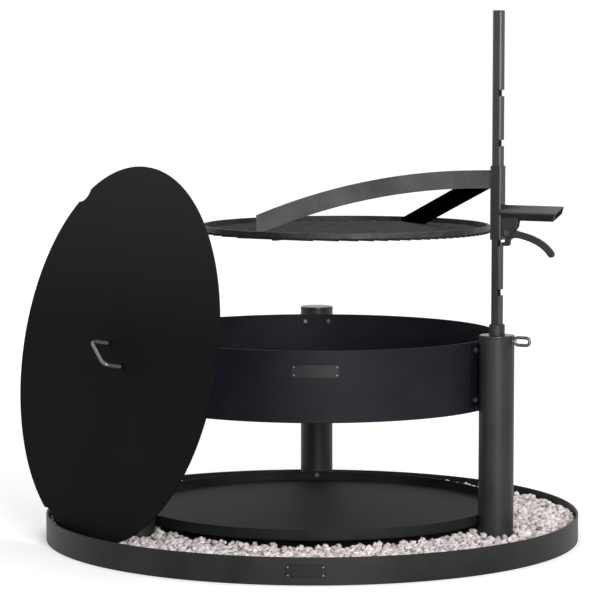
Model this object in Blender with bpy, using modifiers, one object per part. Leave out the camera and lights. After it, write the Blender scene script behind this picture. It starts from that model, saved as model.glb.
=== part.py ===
"""Fire bowl on three posts, with a log shelf, a ring of stones, a lid and a swinging grill grate.

Units are metres and +Z is up. The origin is on the ground, on the bowl's axis. The mast stands in
the front right post, and the lid leans on the front left one.
"""

import math

import bmesh
import bpy
from mathutils import Matrix, Vector

# Clearances and tessellation
GAP = 0.0003
WELD = 0.00001
ROUND_STEPS = 64
TUBE_STEPS = 32
BOLT_STEPS = 10

# Base ring and its bed of stones
RING_CENTRE = (-0.010, 0.0, 0.0)
RING_RADIUS = 0.585
RING_HEIGHT = 0.057
RING_WALL = 0.004
BED_HEIGHT = 0.048
TROUGH_INNER = 0.0010
TROUGH_OUTER = 0.0050

# Posts
POST_CIRCLE = 0.4401
POST_DIAMETER = 0.075
POST_WALL = 0.003
POST_TOP = 0.467
CAP_THICKNESS = 0.004
POST_AZIMUTHS = {"front_right": -30.0, "front_left": 210.0, "back": 90.0}

# Bowl
BOWL_RADIUS = 0.398
BOWL_WALL = 0.004
BOWL_BOTTOM = 0.302
BOWL_RIM = 0.452
FLOOR_THICKNESS = 0.004
FLOOR_LIFT = 0.003
FLOOR_DISH = 0.010
FLOOR_FLAT_RADIUS = 0.150

# Curved brackets that bolt the bowl to the posts
BRACKET_THICKNESS = 0.004
BRACKET_HALF_ANGLE = 5.2
BRACKET_BOTTOM = 0.314
BRACKET_TOP = 0.446
BRACKET_BOLT_ANGLE = 3.9
BRACKET_BOLT_HEIGHTS = (0.329, 0.435)
M6_RADIUS = 0.003
M6_NUT_FLATS = 0.010
M6_NUT_HEIGHT = 0.005
M8_RADIUS = 0.004
M8_NUT_FLATS = 0.013
M8_NUT_HEIGHT = 0.0065
HOLE_CLEARANCE = 0.0004

# Log shelf
SHELF_RADIUS = 0.4023
SHELF_BOTTOM = 0.057
SHELF_RIM = 0.080
SHELF_SHEET = 0.003
SHELF_BOLT_HEIGHT = 0.0715

# Mast: a slotted square tube on a round spigot that turns in the front right post
SPIGOT_DIAMETER = 0.0337
SPIGOT_WALL = 0.003
SPIGOT_FOOT = 0.200
SPIGOT_TOP = 0.489
SOCKET_PLATE = 0.005
SOCKET_STUB = 0.012
POLE_SIZE = 0.020
POLE_WALL = 0.002
POLE_CORNER = 0.0024
POLE_FOOT = 0.380
POLE_TOP = 1.148
SLOT_COUNT = 5
SLOT_FIRST = 0.5575
SLOT_PITCH = 0.105
SLOT_HEIGHT = 0.013
SLOT_DEPTH = 0.0065

# Sliding sleeve with its two arms
SLEEVE_SIZE = 0.025
SLEEVE_WALL = 0.002
SLEEVE_CORNER = 0.0025
SLEEVE_BOTTOM = 0.669
SLEEVE_TOP = 0.825
ARM_HALF_ANGLE = 38.6
ARM_SIDE_OFFSET = 0.0065
ARM_THICKNESS = 0.008
ARM_HEIGHT = 0.038
ARM_END = 0.511
ARM_TOP = 0.8155
ARM_STRAIGHT = 0.0355
ARM_CURVE_RADIUS = 1.225
BACK_ARM_BEND_RADIUS = 0.170
BACK_ARM_SLOPE = 15.6
ARM_STEPS = 14

# Grate
GRATE_REACH = 0.368
HOOP_RADIUS = 0.3135
HOOP_WIDTH = 0.006
HOOP_TOP = 0.690
HOOP_HEIGHT = 0.010
ROD_DIAMETER = 0.006
ROD_PITCH = 0.020
ROD_WELD = 0.0006
STRIP_WIDTH = 0.012
STRIP_THICKNESS = 0.0025
ROD_OVERHANG = 0.0008
ROD_STEPS = 8

# Grip and squeeze latch on the sleeve's outward side
GRIP_SIZE = 0.025
GRIP_WALL = 0.002
GRIP_CORNER = 0.003
GRIP_HEIGHT = 0.7268
GRIP_LENGTH = 0.1415
GRIP_MITRE = 37.0
PIVOT_REACH = 0.028
PIVOT_HEIGHT = 0.6845
LEVER_THICKNESS = 0.008
LEVER_CLEARANCE = 0.0004
CHEEK_THICKNESS = 0.004
CHEEK_HUB_RADIUS = 0.010
HUB_RADIUS = 0.0095
TAIL_HALF_DEPTH = 0.0070
TAIL_CURVE = ((0.0, 0.0), (0.045, -0.006), (0.078, -0.016), (0.097, -0.042))
TOE_TIP = -0.0176
TOE_TOP = -0.0205
TOE_BOTTOM = -0.0280
HOOK_OUTER = 0.0015
HOOK_INNER = -0.0095

# Clamp screw near the top of the front right post
CLAMP_HEIGHT = 0.456
CLAMP_TIP = 0.0173
CLAMP_NUT_SEAT = 0.0265
LOOP_NEAR = 0.0420
LOOP_FAR = 0.0768
LOOP_HALF_HEIGHT = 0.0080
LOOP_ROD = 0.0070

# Lid, leaning on the front left post with its foot among the stones
LID_RADIUS = 0.403
LID_THICKNESS = 0.003
LID_AZIMUTH = 213.9
LID_LEAN = 10.4
LID_SIDE_SHIFT = -0.011
LID_DROP = -0.0427
LID_STAND_OFF = 0.0005
NOTCH_RADIUS = 0.046
NOTCH_ANGLES = (4.5, 124.5, 244.5)
NOTCH_STEPS = 8
LID_STEPS = 78
LID_HANDLE_ANGLE = -33.0
LID_HANDLE_SPREAD = 0.081
LID_HANDLE_HEIGHT = 0.043
LID_HANDLE_ROD = 0.008
LID_HANDLE_BEND = 0.014
LID_HANDLE_TAIL = 0.0115

# Finishes: colour, roughness, metallic
POWDER_BLACK = ("powder_coated_black", (0.020, 0.020, 0.022), 0.45, 0.0)
BOWL_BLACK = ("heat_proof_black", (0.012, 0.012, 0.014), 0.55, 0.0)
GRATE_STEEL = ("dark_grate_steel", (0.045, 0.045, 0.046), 0.40, 0.6)
ZINC_BLACK = ("blackened_fasteners", (0.040, 0.040, 0.042), 0.38, 0.7)
ZINC_PLATED = ("zinc_plated_steel", (0.420, 0.425, 0.435), 0.34, 0.9)
PLUG_BLACK = ("black_plastic_plug", (0.015, 0.015, 0.015), 0.60, 0.0)
STONE_GREY = ("pale_stones", (0.420, 0.400, 0.395), 0.85, 0.0)


def clear_scene():
    """Remove every object, so the part is built in an empty scene."""
    for obj in list(bpy.data.objects):
        bpy.data.objects.remove(obj, do_unlink=True)


def new_collection(name):
    """Collection linked to the scene."""
    collection = bpy.data.collections.new(name)
    bpy.context.scene.collection.children.link(collection)
    return collection


def make_finish(finish):
    """Principled material from a finish tuple, made once per name."""
    name, colour, roughness, metallic = finish
    material = bpy.data.materials.get(name)
    if material is None:
        material = bpy.data.materials.new(name)
        material.use_nodes = True
        shader = material.node_tree.nodes["Principled BSDF"]
        shader.inputs["Base Color"].default_value = (*colour, 1.0)
        shader.inputs["Roughness"].default_value = roughness
        shader.inputs["Metallic"].default_value = metallic
    return material


def add_object(name, data, finish, parent=None):
    """Object in the part's collection, with its finish."""
    obj = bpy.data.objects.new(name, data)
    bpy.data.collections["fire_bowl_with_grill_grate"].objects.link(obj)
    data.materials.clear()
    data.materials.append(make_finish(finish))
    obj.parent = parent
    return obj


def add_empty(name, location, rotation, parent=None):
    """Empty that stands on a joint axis or carries a sub-assembly."""
    empty = bpy.data.objects.new(name, None)
    bpy.data.collections["fire_bowl_with_grill_grate"].objects.link(empty)
    empty.location = location
    empty.rotation_euler = rotation
    empty.empty_display_size = 0.05
    empty.parent = parent
    return empty


def turned(name, profile, finish, steps=ROUND_STEPS, closed=True, parent=None):
    """Solid turned about Z from (radius, height) points that run down the outer side."""
    mesh = bpy.data.meshes.new(name)
    points = [(radius, 0.0, height) for radius, height in profile]
    edges = [(index, index + 1) for index in range(len(points) - 1)]
    if closed:
        edges.append((len(points) - 1, 0))
    mesh.from_pydata(points, edges, [])
    obj = add_object(name, mesh, finish, parent)
    screw = obj.modifiers.new("turn", "SCREW")
    screw.steps = steps
    screw.render_steps = steps
    screw.use_merge_vertices = True
    screw.merge_threshold = WELD
    screw.use_smooth_shade = steps > BOLT_STEPS
    return obj


def flat_outline(name, outlines, thickness, finish, parent=None):
    """Plate from closed XY outlines, centred on Z; inner outlines are holes."""
    curve = bpy.data.curves.new(name, "CURVE")
    curve.dimensions = "2D"
    curve.fill_mode = "BOTH"
    curve.extrude = thickness / 2
    for outline in outlines:
        spline = curve.splines.new("POLY")
        spline.points.add(len(outline) - 1)
        for point, (x, y) in zip(spline.points, outline):
            point.co = (x, y, 0.0, 1.0)
        spline.use_cyclic_u = True
    return add_object(name, curve, finish, parent)


def bent_rod(name, points, diameter, finish, cyclic=False, parent=None):
    """Round rod along a list of points, with closed ends."""
    curve = bpy.data.curves.new(name, "CURVE")
    curve.dimensions = "3D"
    curve.bevel_depth = diameter / 2
    curve.bevel_resolution = 2
    curve.use_fill_caps = True
    spline = curve.splines.new("POLY")
    spline.points.add(len(points) - 1)
    for point, place in zip(spline.points, points):
        point.co = (*place, 1.0)
    spline.use_cyclic_u = cyclic
    return add_object(name, curve, finish, parent)


def baked_mesh(obj):
    """Evaluated mesh of an object, welded and in world space; the object is removed."""
    bpy.context.view_layer.update()
    depsgraph = bpy.context.evaluated_depsgraph_get()
    mesh = bpy.data.meshes.new_from_object(obj.evaluated_get(depsgraph))
    work = bmesh.new()
    work.from_mesh(mesh)
    bmesh.ops.remove_doubles(work, verts=work.verts, dist=WELD)
    work.transform(obj.matrix_world)
    work.to_mesh(mesh)
    work.free()
    bpy.data.objects.remove(obj, do_unlink=True)
    return mesh


def to_mesh_object(obj, finish):
    """Replace a curve object by a welded mesh object with the same name and place."""
    bpy.context.view_layer.update()
    name = obj.name
    parent = obj.parent
    world = obj.matrix_world.copy()
    obj.name = name + "_curve"
    obj.parent = None
    obj.matrix_world = Matrix.Identity(4)
    solid = add_object(name, baked_mesh(obj), finish, parent)
    solid.matrix_world = world
    return solid


def fastener(name, template, matrix, parent=None):
    """Bolt or nut from a template mesh, placed in its parent's space."""
    obj = add_object(name, template.copy(), ZINC_BLACK, parent)
    obj.matrix_basis = matrix
    return obj


def smooth(obj, angle=30.0):
    """Smooth shading with creases kept sharp."""
    obj.data.shade_smooth()
    obj.data.set_sharp_from_angle(angle=math.radians(angle))


def to_cutters(obj):
    """Move a tool object to the cutters' collection and out of the model."""
    for collection in list(obj.users_collection):
        collection.objects.unlink(obj)
    bpy.data.collections["cutters"].objects.link(obj)
    obj.hide_render = True
    obj.display_type = "WIRE"
    return obj


def boolean(obj, tool, operation="DIFFERENCE"):
    """Exact Boolean with a tool that is already among the cutters."""
    modifier = obj.modifiers.new(operation.lower(), "BOOLEAN")
    modifier.operation = operation
    modifier.solver = "EXACT"
    modifier.object = tool


def box_cutter(name, boxes, parent=None):
    """Tool made of boxes, each a (centre, size) pair."""
    work = bmesh.new()
    for centre, size in boxes:
        made = bmesh.ops.create_cube(work, size=1.0)
        bmesh.ops.scale(work, verts=made["verts"], vec=size)
        bmesh.ops.translate(work, verts=made["verts"], vec=centre)
    mesh = bpy.data.meshes.new(name)
    work.to_mesh(mesh)
    work.free()
    return to_cutters(add_object(name, mesh, POWDER_BLACK, parent))


def cylinder_cutter(name, radius, length, matrices, steps=BOLT_STEPS, parent=None):
    """Tool made of equal cylinders along local Z, one at each matrix."""
    work = bmesh.new()
    for matrix in matrices:
        bmesh.ops.create_cone(
            work, cap_ends=True, segments=steps, radius1=radius, radius2=radius,
            depth=length, matrix=matrix,
        )
    mesh = bpy.data.meshes.new(name)
    work.to_mesh(mesh)
    work.free()
    return to_cutters(add_object(name, mesh, POWDER_BLACK, parent))


def polar(radius, azimuth, height=0.0):
    """Point at a radius and an azimuth in degrees."""
    angle = math.radians(azimuth)
    return Vector((radius * math.cos(angle), radius * math.sin(angle), height))


def radial_matrix(radius, azimuth, height):
    """Placement whose local Z points outward along an azimuth, at a radius and height."""
    turn = Matrix.Rotation(math.radians(azimuth), 4, "Z") @ Matrix.Rotation(math.radians(90.0), 4, "Y")
    return Matrix.Translation(polar(radius, azimuth, height)) @ turn


def facet_radius(radius):
    """Distance from the axis to the middle of a facet of a large turned shape."""
    return radius * math.cos(math.pi / ROUND_STEPS)


def arc(radius, start, end, steps, centre=(0.0, 0.0)):
    """Points on an arc from one angle to another, in degrees."""
    angles = [math.radians(start + (end - start) * step / steps) for step in range(steps + 1)]
    return [(centre[0] + radius * math.cos(a), centre[1] + radius * math.sin(a)) for a in angles]


def circle(radius, steps, centre=(0.0, 0.0)):
    """Points of a full circle, without a repeated last point."""
    return arc(radius, 0.0, 360.0, steps, centre)[:-1]


def hexagon(flats, turn=0.0):
    """Hexagon by its width across flats."""
    return [(x, y) for x, y in arc(flats / 2 / math.cos(math.pi / 6), turn, turn + 360.0, 6)][:-1]


def rounded_square(size, corner, steps=3):
    """Square outline with round corners."""
    half = size / 2 - corner
    points = []
    for index, (sx, sy) in enumerate(((1, 1), (-1, 1), (-1, -1), (1, -1))):
        points += arc(corner, index * 90.0, index * 90.0 + 90.0, steps, (sx * half, sy * half))
    return points


def square_tube(name, size, wall, corner, length, finish, parent=None):
    """Square tube along Z, centred on its length, made a mesh so that it can be cut."""
    outer = rounded_square(size, corner)
    inner = rounded_square(size - 2 * wall, max(corner - wall, 0.0008))
    return to_mesh_object(flat_outline(name, [outer, inner], length, finish, parent), finish)


def hex_nut_mesh(flats, height, bolt_radius):
    """Nut along Z, standing on its lower face, with flats above and below after a radial turn."""
    outlines = [hexagon(flats, 0.0), circle(bolt_radius + HOLE_CLEARANCE, BOLT_STEPS)]
    nut = flat_outline("nut_template", outlines, height, ZINC_BLACK)
    nut.location.z = height / 2
    return baked_mesh(nut)


def round_bolt_mesh(radius, length, head_radius, head_height):
    """Round-headed bolt: the head's seat is at zero and the shank runs up +Z."""
    profile = [
        (0.0, length),
        (radius, length),
        (radius, 0.0),
        (head_radius, 0.0),
        (head_radius * 0.70, -head_height),
        (0.0, -head_height),
    ]
    return baked_mesh(turned("bolt_template", profile, ZINC_BLACK, BOLT_STEPS, closed=False))


def ring_profile(outer, inner, bottom, top, chamfer=0.0008):
    """Section of a plain band with a small chamfer on its upper edges."""
    return [
        (outer - chamfer, top),
        (outer, top - chamfer),
        (outer, bottom),
        (inner, bottom),
        (inner, top - chamfer),
        (inner + chamfer, top),
    ]


def lid_placement():
    """Matrix of the leaning lid: local Z is its outer normal, local Y points up its face."""
    azimuth = math.radians(LID_AZIMUTH)
    lean = math.radians(LID_LEAN)
    outward = Vector((math.cos(azimuth), math.sin(azimuth), 0.0))
    side = Vector((-math.sin(azimuth), math.cos(azimuth), 0.0))
    normal = outward * math.cos(lean) + Vector((0.0, 0.0, math.sin(lean)))
    face_up = Vector((0.0, 0.0, math.cos(lean))) - outward * math.sin(lean)
    edge = polar(POST_CIRCLE, POST_AZIMUTHS["front_left"], POST_TOP) + outward * POST_DIAMETER / 2
    centre = edge + normal * (LID_STAND_OFF + LID_THICKNESS / 2)
    centre += side * LID_SIDE_SHIFT + face_up * LID_DROP
    rotation = Matrix((side, face_up, side.cross(face_up))).transposed().to_4x4()
    return Matrix.Translation(centre) @ rotation


def build_base():
    """Rolled steel ring and the bed of stones inside it."""
    inner = RING_RADIUS - RING_WALL
    ring = turned("base_ring", ring_profile(RING_RADIUS, inner, 0.0, RING_HEIGHT), POWDER_BLACK)
    ring.location = RING_CENTRE
    bed_radius = inner - 2 * GAP
    profile = [
        (0.0, BED_HEIGHT),
        (bed_radius - 0.006, BED_HEIGHT),
        (bed_radius, BED_HEIGHT - 0.004),
        (bed_radius, 0.0),
        (0.0, 0.0),
    ]
    bed = turned("gravel_bed", profile, STONE_GREY, closed=False)
    bed.location = RING_CENTRE
    places = [Matrix.Translation(polar(POST_CIRCLE, azimuth)) for azimuth in POST_AZIMUTHS.values()]
    boolean(bed, cylinder_cutter("post_sockets", POST_DIAMETER / 2 + 2 * GAP, 0.2, places, TUBE_STEPS))
    thickness = LID_THICKNESS + TROUGH_INNER + TROUGH_OUTER
    rim = circle(LID_RADIUS + 2 * GAP, LID_STEPS)
    trough = to_mesh_object(flat_outline("lid_trough", [rim], thickness, STONE_GREY), STONE_GREY)
    shift = Matrix.Translation((0.0, 0.0, (TROUGH_OUTER - TROUGH_INNER) / 2))
    trough.matrix_world = lid_placement() @ shift
    boolean(bed, to_cutters(trough))


def build_posts():
    """Three round posts with their top plates; the front right one has a hole for the mast."""
    radius = POST_DIAMETER / 2
    tube_top = POST_TOP - CAP_THICKNESS - GAP
    spigot_hole = SPIGOT_DIAMETER / 2 + 2 * HOLE_CLEARANCE
    for label, azimuth in POST_AZIMUTHS.items():
        place = polar(POST_CIRCLE, azimuth)
        bore = radius - POST_WALL
        section = [(radius, tube_top), (radius, 0.0), (bore, 0.0), (bore, tube_top)]
        post = turned("post_" + label, section, POWDER_BLACK, TUBE_STEPS)
        post.location = place
        hole = radial_matrix(POST_CIRCLE - radius, azimuth, SHELF_BOLT_HEIGHT)
        boolean(post, cylinder_cutter("shelf_hole_" + label, M8_RADIUS + HOLE_CLEARANCE, 0.02, [hole]))
        if label == "front_right":
            hole = radial_matrix(POST_CIRCLE + radius, azimuth, CLAMP_HEIGHT)
            boolean(post, cylinder_cutter("clamp_hole", M8_RADIUS + HOLE_CLEARANCE, 0.02, [hole]))
            cap_profile = ring_profile(radius, spigot_hole, POST_TOP - CAP_THICKNESS, POST_TOP)
            cap = turned("post_cap_" + label, cap_profile, POWDER_BLACK, TUBE_STEPS)
        else:
            cap_profile = [
                (0.0, POST_TOP),
                (radius - 0.0008, POST_TOP),
                (radius, POST_TOP - 0.0008),
                (radius, POST_TOP - CAP_THICKNESS),
                (0.0, POST_TOP - CAP_THICKNESS),
            ]
            cap = turned("post_cap_" + label, cap_profile, POWDER_BLACK, TUBE_STEPS, closed=False)
        cap.location = place


def build_socket():
    """Plate welded inside the front right post, with a stub that centres the mast's spigot."""
    outer = POST_DIAMETER / 2 - POST_WALL - 2 * GAP
    stub = SPIGOT_DIAMETER / 2 - SPIGOT_WALL - HOLE_CLEARANCE
    top = SPIGOT_FOOT - GAP
    profile = [
        (0.0, top + SOCKET_STUB),
        (stub, top + SOCKET_STUB),
        (stub, top),
        (outer, top),
        (outer, top - SOCKET_PLATE),
        (0.0, top - SOCKET_PLATE),
    ]
    socket = turned("socket_floor", profile, POWDER_BLACK, TUBE_STEPS, closed=False)
    socket.location = polar(POST_CIRCLE, POST_AZIMUTHS["front_right"])


def bracket_stations(radius):
    """Placements of the bowl's bolts by name, four at each post, pointing outward."""
    stations = {}
    for label, azimuth in POST_AZIMUTHS.items():
        for side, turn in (("a", -BRACKET_BOLT_ANGLE), ("b", BRACKET_BOLT_ANGLE)):
            for level, height in zip(("low", "high"), BRACKET_BOLT_HEIGHTS):
                stations[f"{label}_{side}_{level}"] = radial_matrix(radius, azimuth + turn, height)
    return stations


def build_bowl():
    """Rolled bowl wall, dished floor plate, and the brackets that bolt the wall to the posts."""
    inner = BOWL_RADIUS - BOWL_WALL
    wall = turned("bowl_wall", ring_profile(BOWL_RADIUS, inner, BOWL_BOTTOM, BOWL_RIM), BOWL_BLACK)
    places = list(bracket_stations(BOWL_RADIUS).values())
    holes = cylinder_cutter("bracket_holes", M6_RADIUS + HOLE_CLEARANCE, 0.03, places)
    boolean(wall, holes)
    smallest = BOWL_BOTTOM + FLOOR_LIFT
    edge = inner - GAP
    profile = [
        (0.0, smallest + FLOOR_THICKNESS),
        (FLOOR_FLAT_RADIUS, smallest + FLOOR_THICKNESS),
        (edge, smallest + FLOOR_THICKNESS + FLOOR_DISH),
        (edge, smallest + FLOOR_DISH),
        (FLOOR_FLAT_RADIUS, smallest),
        (0.0, smallest),
    ]
    turned("bowl_floor", profile, BOWL_BLACK, closed=False)
    for label, azimuth in POST_AZIMUTHS.items():
        near = BOWL_RADIUS + GAP
        far = near + BRACKET_THICKNESS
        outline = arc(far, -BRACKET_HALF_ANGLE, BRACKET_HALF_ANGLE, 6)
        outline += arc(near, BRACKET_HALF_ANGLE, -BRACKET_HALF_ANGLE, 6)
        height = BRACKET_TOP - BRACKET_BOTTOM
        plate = flat_outline("bowl_bracket_" + label, [outline], height, POWDER_BLACK)
        plate = to_mesh_object(plate, POWDER_BLACK)
        plate.location.z = (BRACKET_TOP + BRACKET_BOTTOM) / 2
        plate.rotation_euler.z = math.radians(azimuth)
        boolean(plate, holes)
    bolt = round_bolt_mesh(M6_RADIUS, 0.0165, 0.0065, 0.0036)
    for label, place in bracket_stations(facet_radius(inner) - GAP).items():
        fastener("bracket_bolt_" + label, bolt, place)
    nut = hex_nut_mesh(M6_NUT_FLATS, M6_NUT_HEIGHT, M6_RADIUS)
    nut_seat = BOWL_RADIUS + BRACKET_THICKNESS + 2 * GAP
    for label, place in bracket_stations(nut_seat).items():
        fastener("bracket_nut_" + label, nut, place)


def build_shelf():
    """Round log tray with an upturned rim, bolted to the posts from inside its rim."""
    inner = SHELF_RADIUS - SHELF_SHEET
    floor_top = SHELF_BOTTOM + SHELF_SHEET
    profile = [
        (0.0, floor_top),
        (inner - 0.003, floor_top),
        (inner, floor_top + 0.003),
        (inner, SHELF_RIM - 0.0008),
        (inner + 0.0008, SHELF_RIM),
        (SHELF_RADIUS - 0.0008, SHELF_RIM),
        (SHELF_RADIUS, SHELF_RIM - 0.0008),
        (SHELF_RADIUS, SHELF_BOTTOM + 0.005),
        (SHELF_RADIUS - 0.005, SHELF_BOTTOM),
        (0.0, SHELF_BOTTOM),
    ]
    shelf = turned("log_shelf", profile, POWDER_BLACK, closed=False)
    azimuths = POST_AZIMUTHS.values()
    places = [radial_matrix(SHELF_RADIUS, azimuth, SHELF_BOLT_HEIGHT) for azimuth in azimuths]
    boolean(shelf, cylinder_cutter("shelf_holes", M8_RADIUS + HOLE_CLEARANCE, 0.02, places))
    bolt = round_bolt_mesh(M8_RADIUS, 0.0175, 0.0074, 0.0045)
    seat = facet_radius(inner) - GAP
    for label, azimuth in POST_AZIMUTHS.items():
        fastener("shelf_bolt_" + label, bolt, radial_matrix(seat, azimuth, SHELF_BOLT_HEIGHT))


def build_mast(mast):
    """Round spigot, slotted pole and its end plug, all on the mast's turning axis."""
    radius = SPIGOT_DIAMETER / 2
    bore = radius - SPIGOT_WALL
    section = [(radius, SPIGOT_TOP), (radius, SPIGOT_FOOT), (bore, SPIGOT_FOOT), (bore, SPIGOT_TOP)]
    turned("pole_spigot", section, POWDER_BLACK, TUBE_STEPS, parent=mast)
    length = POLE_TOP - POLE_FOOT
    pole = square_tube("pole", POLE_SIZE, POLE_WALL, POLE_CORNER, length, POWDER_BLACK, mast)
    pole.location.z = (POLE_TOP + POLE_FOOT) / 2
    slots = []
    for index in range(SLOT_COUNT):
        centre = (POLE_SIZE / 2, 0.0, SLOT_FIRST + index * SLOT_PITCH)
        slots.append((centre, (2 * SLOT_DEPTH, 2 * POLE_SIZE, SLOT_HEIGHT)))
    boolean(pole, box_cutter("pole_slots", slots, mast))
    plug_size = POLE_SIZE - 2 * POLE_WALL - 2 * GAP
    head = rounded_square(POLE_SIZE, POLE_CORNER)
    cap = to_mesh_object(flat_outline("pole_cap", [head], 0.0018, PLUG_BLACK, mast), PLUG_BLACK)
    cap.location.z = POLE_TOP + GAP + 0.0009
    stem = flat_outline("pole_cap_stem", [rounded_square(plug_size, 0.0008)], 0.014, PLUG_BLACK, mast)
    stem = to_mesh_object(stem, PLUG_BLACK)
    stem.location.z = POLE_TOP + GAP + 0.0009 - 0.007
    boolean(cap, to_cutters(stem), "UNION")


def arm_outline(straight, radius, slope):
    """Side view of an arm: level at the sleeve, an arc downward, then straight at a slope."""
    centre = (straight, ARM_TOP - radius)
    top = arc(radius, 90.0, 90.0 - slope, ARM_STEPS, centre)
    bottom = arc(radius - ARM_HEIGHT, 90.0, 90.0 - slope, ARM_STEPS, centre)
    reach = ARM_END - SLEEVE_SIZE / 2
    for side in (top, bottom):
        along, height = side[-1]
        if reach - along > GAP:
            side.append((reach, height - (reach - along) * math.tan(math.radians(slope))))
    start = -0.010
    return [(start, ARM_TOP)] + top + list(reversed(bottom)) + [(start, ARM_TOP - ARM_HEIGHT)]


def build_grate(carriage):
    """Sleeve, the two arms, the hoop and the rods of the grate."""
    length = SLEEVE_TOP - SLEEVE_BOTTOM
    sleeve = square_tube("sleeve", SLEEVE_SIZE, SLEEVE_WALL, SLEEVE_CORNER, length, POWDER_BLACK, carriage)
    sleeve.location.z = (SLEEVE_TOP + SLEEVE_BOTTOM) / 2
    face = SLEEVE_SIZE / 2 + GAP
    centre = Vector((-GRATE_REACH, 0.0, 0.0))
    seat = box_cutter("arm_seats", [((0.10 - face, 0.0, ARM_TOP), (0.20, 0.3, 0.3))], carriage)
    inner = HOOP_RADIUS - HOOP_WIDTH - 2 * GAP
    rod_top = HOOP_TOP - HOOP_HEIGHT
    landing = turned(
        "arm_landing",
        [(0.0, rod_top), (inner, rod_top), (inner, HOOP_TOP + GAP), (2 * HOOP_RADIUS, HOOP_TOP + GAP),
         (2 * HOOP_RADIUS, 0.6), (0.0, 0.6)],
        POWDER_BLACK,
        closed=False,
        parent=carriage,
    )
    landing.location = centre
    to_cutters(landing)
    reach = ARM_END - SLEEVE_SIZE / 2
    full_sweep = math.degrees(math.asin((reach - ARM_STRAIGHT) / ARM_CURVE_RADIUS))
    outlines = {
        "front": (1.0, arm_outline(ARM_STRAIGHT, ARM_CURVE_RADIUS, full_sweep)),
        "back": (-1.0, arm_outline(0.0, BACK_ARM_BEND_RADIUS, BACK_ARM_SLOPE)),
    }
    for label, (side, outline) in outlines.items():
        arm = flat_outline("arm_" + label, [outline], ARM_THICKNESS, POWDER_BLACK, carriage)
        arm = to_mesh_object(arm, POWDER_BLACK)
        arm.location = (-face, -side * ARM_SIDE_OFFSET, 0.0)
        heading = math.radians(180.0 + side * ARM_HALF_ANGLE)
        arm.rotation_euler = (math.radians(90.0), 0.0, heading)
        boolean(arm, seat)
        boolean(arm, landing)
    hoop = turned(
        "grate_hoop",
        ring_profile(HOOP_RADIUS, HOOP_RADIUS - HOOP_WIDTH, HOOP_TOP - HOOP_HEIGHT, HOOP_TOP),
        GRATE_STEEL,
        parent=carriage,
    )
    hoop.location = centre
    build_rods(carriage, centre)


def build_rods(carriage, centre):
    """Parallel rods cut to the hoop's chords, with one strip welded across below them."""
    work = bmesh.new()
    height = HOOP_TOP - HOOP_HEIGHT - GAP - ROD_DIAMETER / 2
    reach = int(HOOP_RADIUS / ROD_PITCH)
    lie_down = Matrix.Rotation(math.radians(90.0), 4, "Y")
    for index in range(-reach, reach + 1):
        offset = index * ROD_PITCH
        length = 2 * (math.sqrt(HOOP_RADIUS ** 2 - offset ** 2) + ROD_OVERHANG)
        place = Matrix.Translation((centre.x, offset, height)) @ lie_down
        bmesh.ops.create_cone(
            work, cap_ends=True, segments=ROD_STEPS, radius1=ROD_DIAMETER / 2,
            radius2=ROD_DIAMETER / 2, depth=length, matrix=place,
        )
    mesh = bpy.data.meshes.new("grate_rods")
    work.to_mesh(mesh)
    work.free()
    rods = add_object("grate_rods", mesh, GRATE_STEEL, carriage)
    strip_top = height - ROD_DIAMETER / 2 + ROD_WELD
    strip_centre = (centre.x, 0.0, strip_top - STRIP_THICKNESS / 2)
    strip_size = (STRIP_WIDTH, 2 * reach * ROD_PITCH + ROD_DIAMETER, STRIP_THICKNESS)
    boolean(rods, box_cutter("rod_strip", [(strip_centre, strip_size)], carriage), "UNION")


def build_grip(carriage):
    """Grip: a square tube set on its corner, with its outer end cut back below."""
    start = SLEEVE_SIZE / 2 + GAP
    half_height = GRIP_SIZE / math.sqrt(2)
    middle = start + GRIP_LENGTH / 2
    grip = square_tube("grip_bar", GRIP_SIZE, GRIP_WALL, GRIP_CORNER, GRIP_LENGTH, POWDER_BLACK, carriage)
    turn = Matrix.Rotation(math.radians(90.0), 4, "Y") @ Matrix.Rotation(math.radians(45.0), 4, "Z")
    grip.rotation_euler = turn.to_euler()
    grip.location = (middle, 0.0, GRIP_HEIGHT)
    mitre = box_cutter("grip_mitre", [((0.05, 0.0, 0.0), (0.10, 0.10, 0.20))], carriage)
    mitre.location = (start + GRIP_LENGTH, 0.0, GRIP_HEIGHT + half_height)
    mitre.rotation_euler = (0.0, math.radians(GRIP_MITRE), 0.0)
    boolean(grip, mitre)


def cheek_outline():
    """Side view of a latch cheek, about the pivot: up to the grip, round below the pivot."""
    left = SLEEVE_SIZE / 2 + GAP - PIVOT_REACH
    top = GRIP_HEIGHT - PIVOT_HEIGHT
    outline = [(left, top), (0.0245, top), (0.0185, 0.012)]
    outline += arc(CHEEK_HUB_RADIUS, 10.0, -100.0, 6)
    outline += [(left, -0.0085)]
    return list(reversed(outline))


def tail_point(share):
    """Point and unit normal on the lever's centre curve, a cubic Bezier."""
    first, second, third, last = (Vector(point) for point in TAIL_CURVE)
    rest = 1.0 - share
    place = first * rest ** 3 + last * share ** 3
    place += second * 3 * rest ** 2 * share + third * 3 * rest * share ** 2
    slope = (second - first) * rest ** 2 + (last - third) * share ** 2
    slope += (third - second) * 2 * rest * share
    slope.normalize()
    return place, Vector((-slope.y, slope.x))


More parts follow.
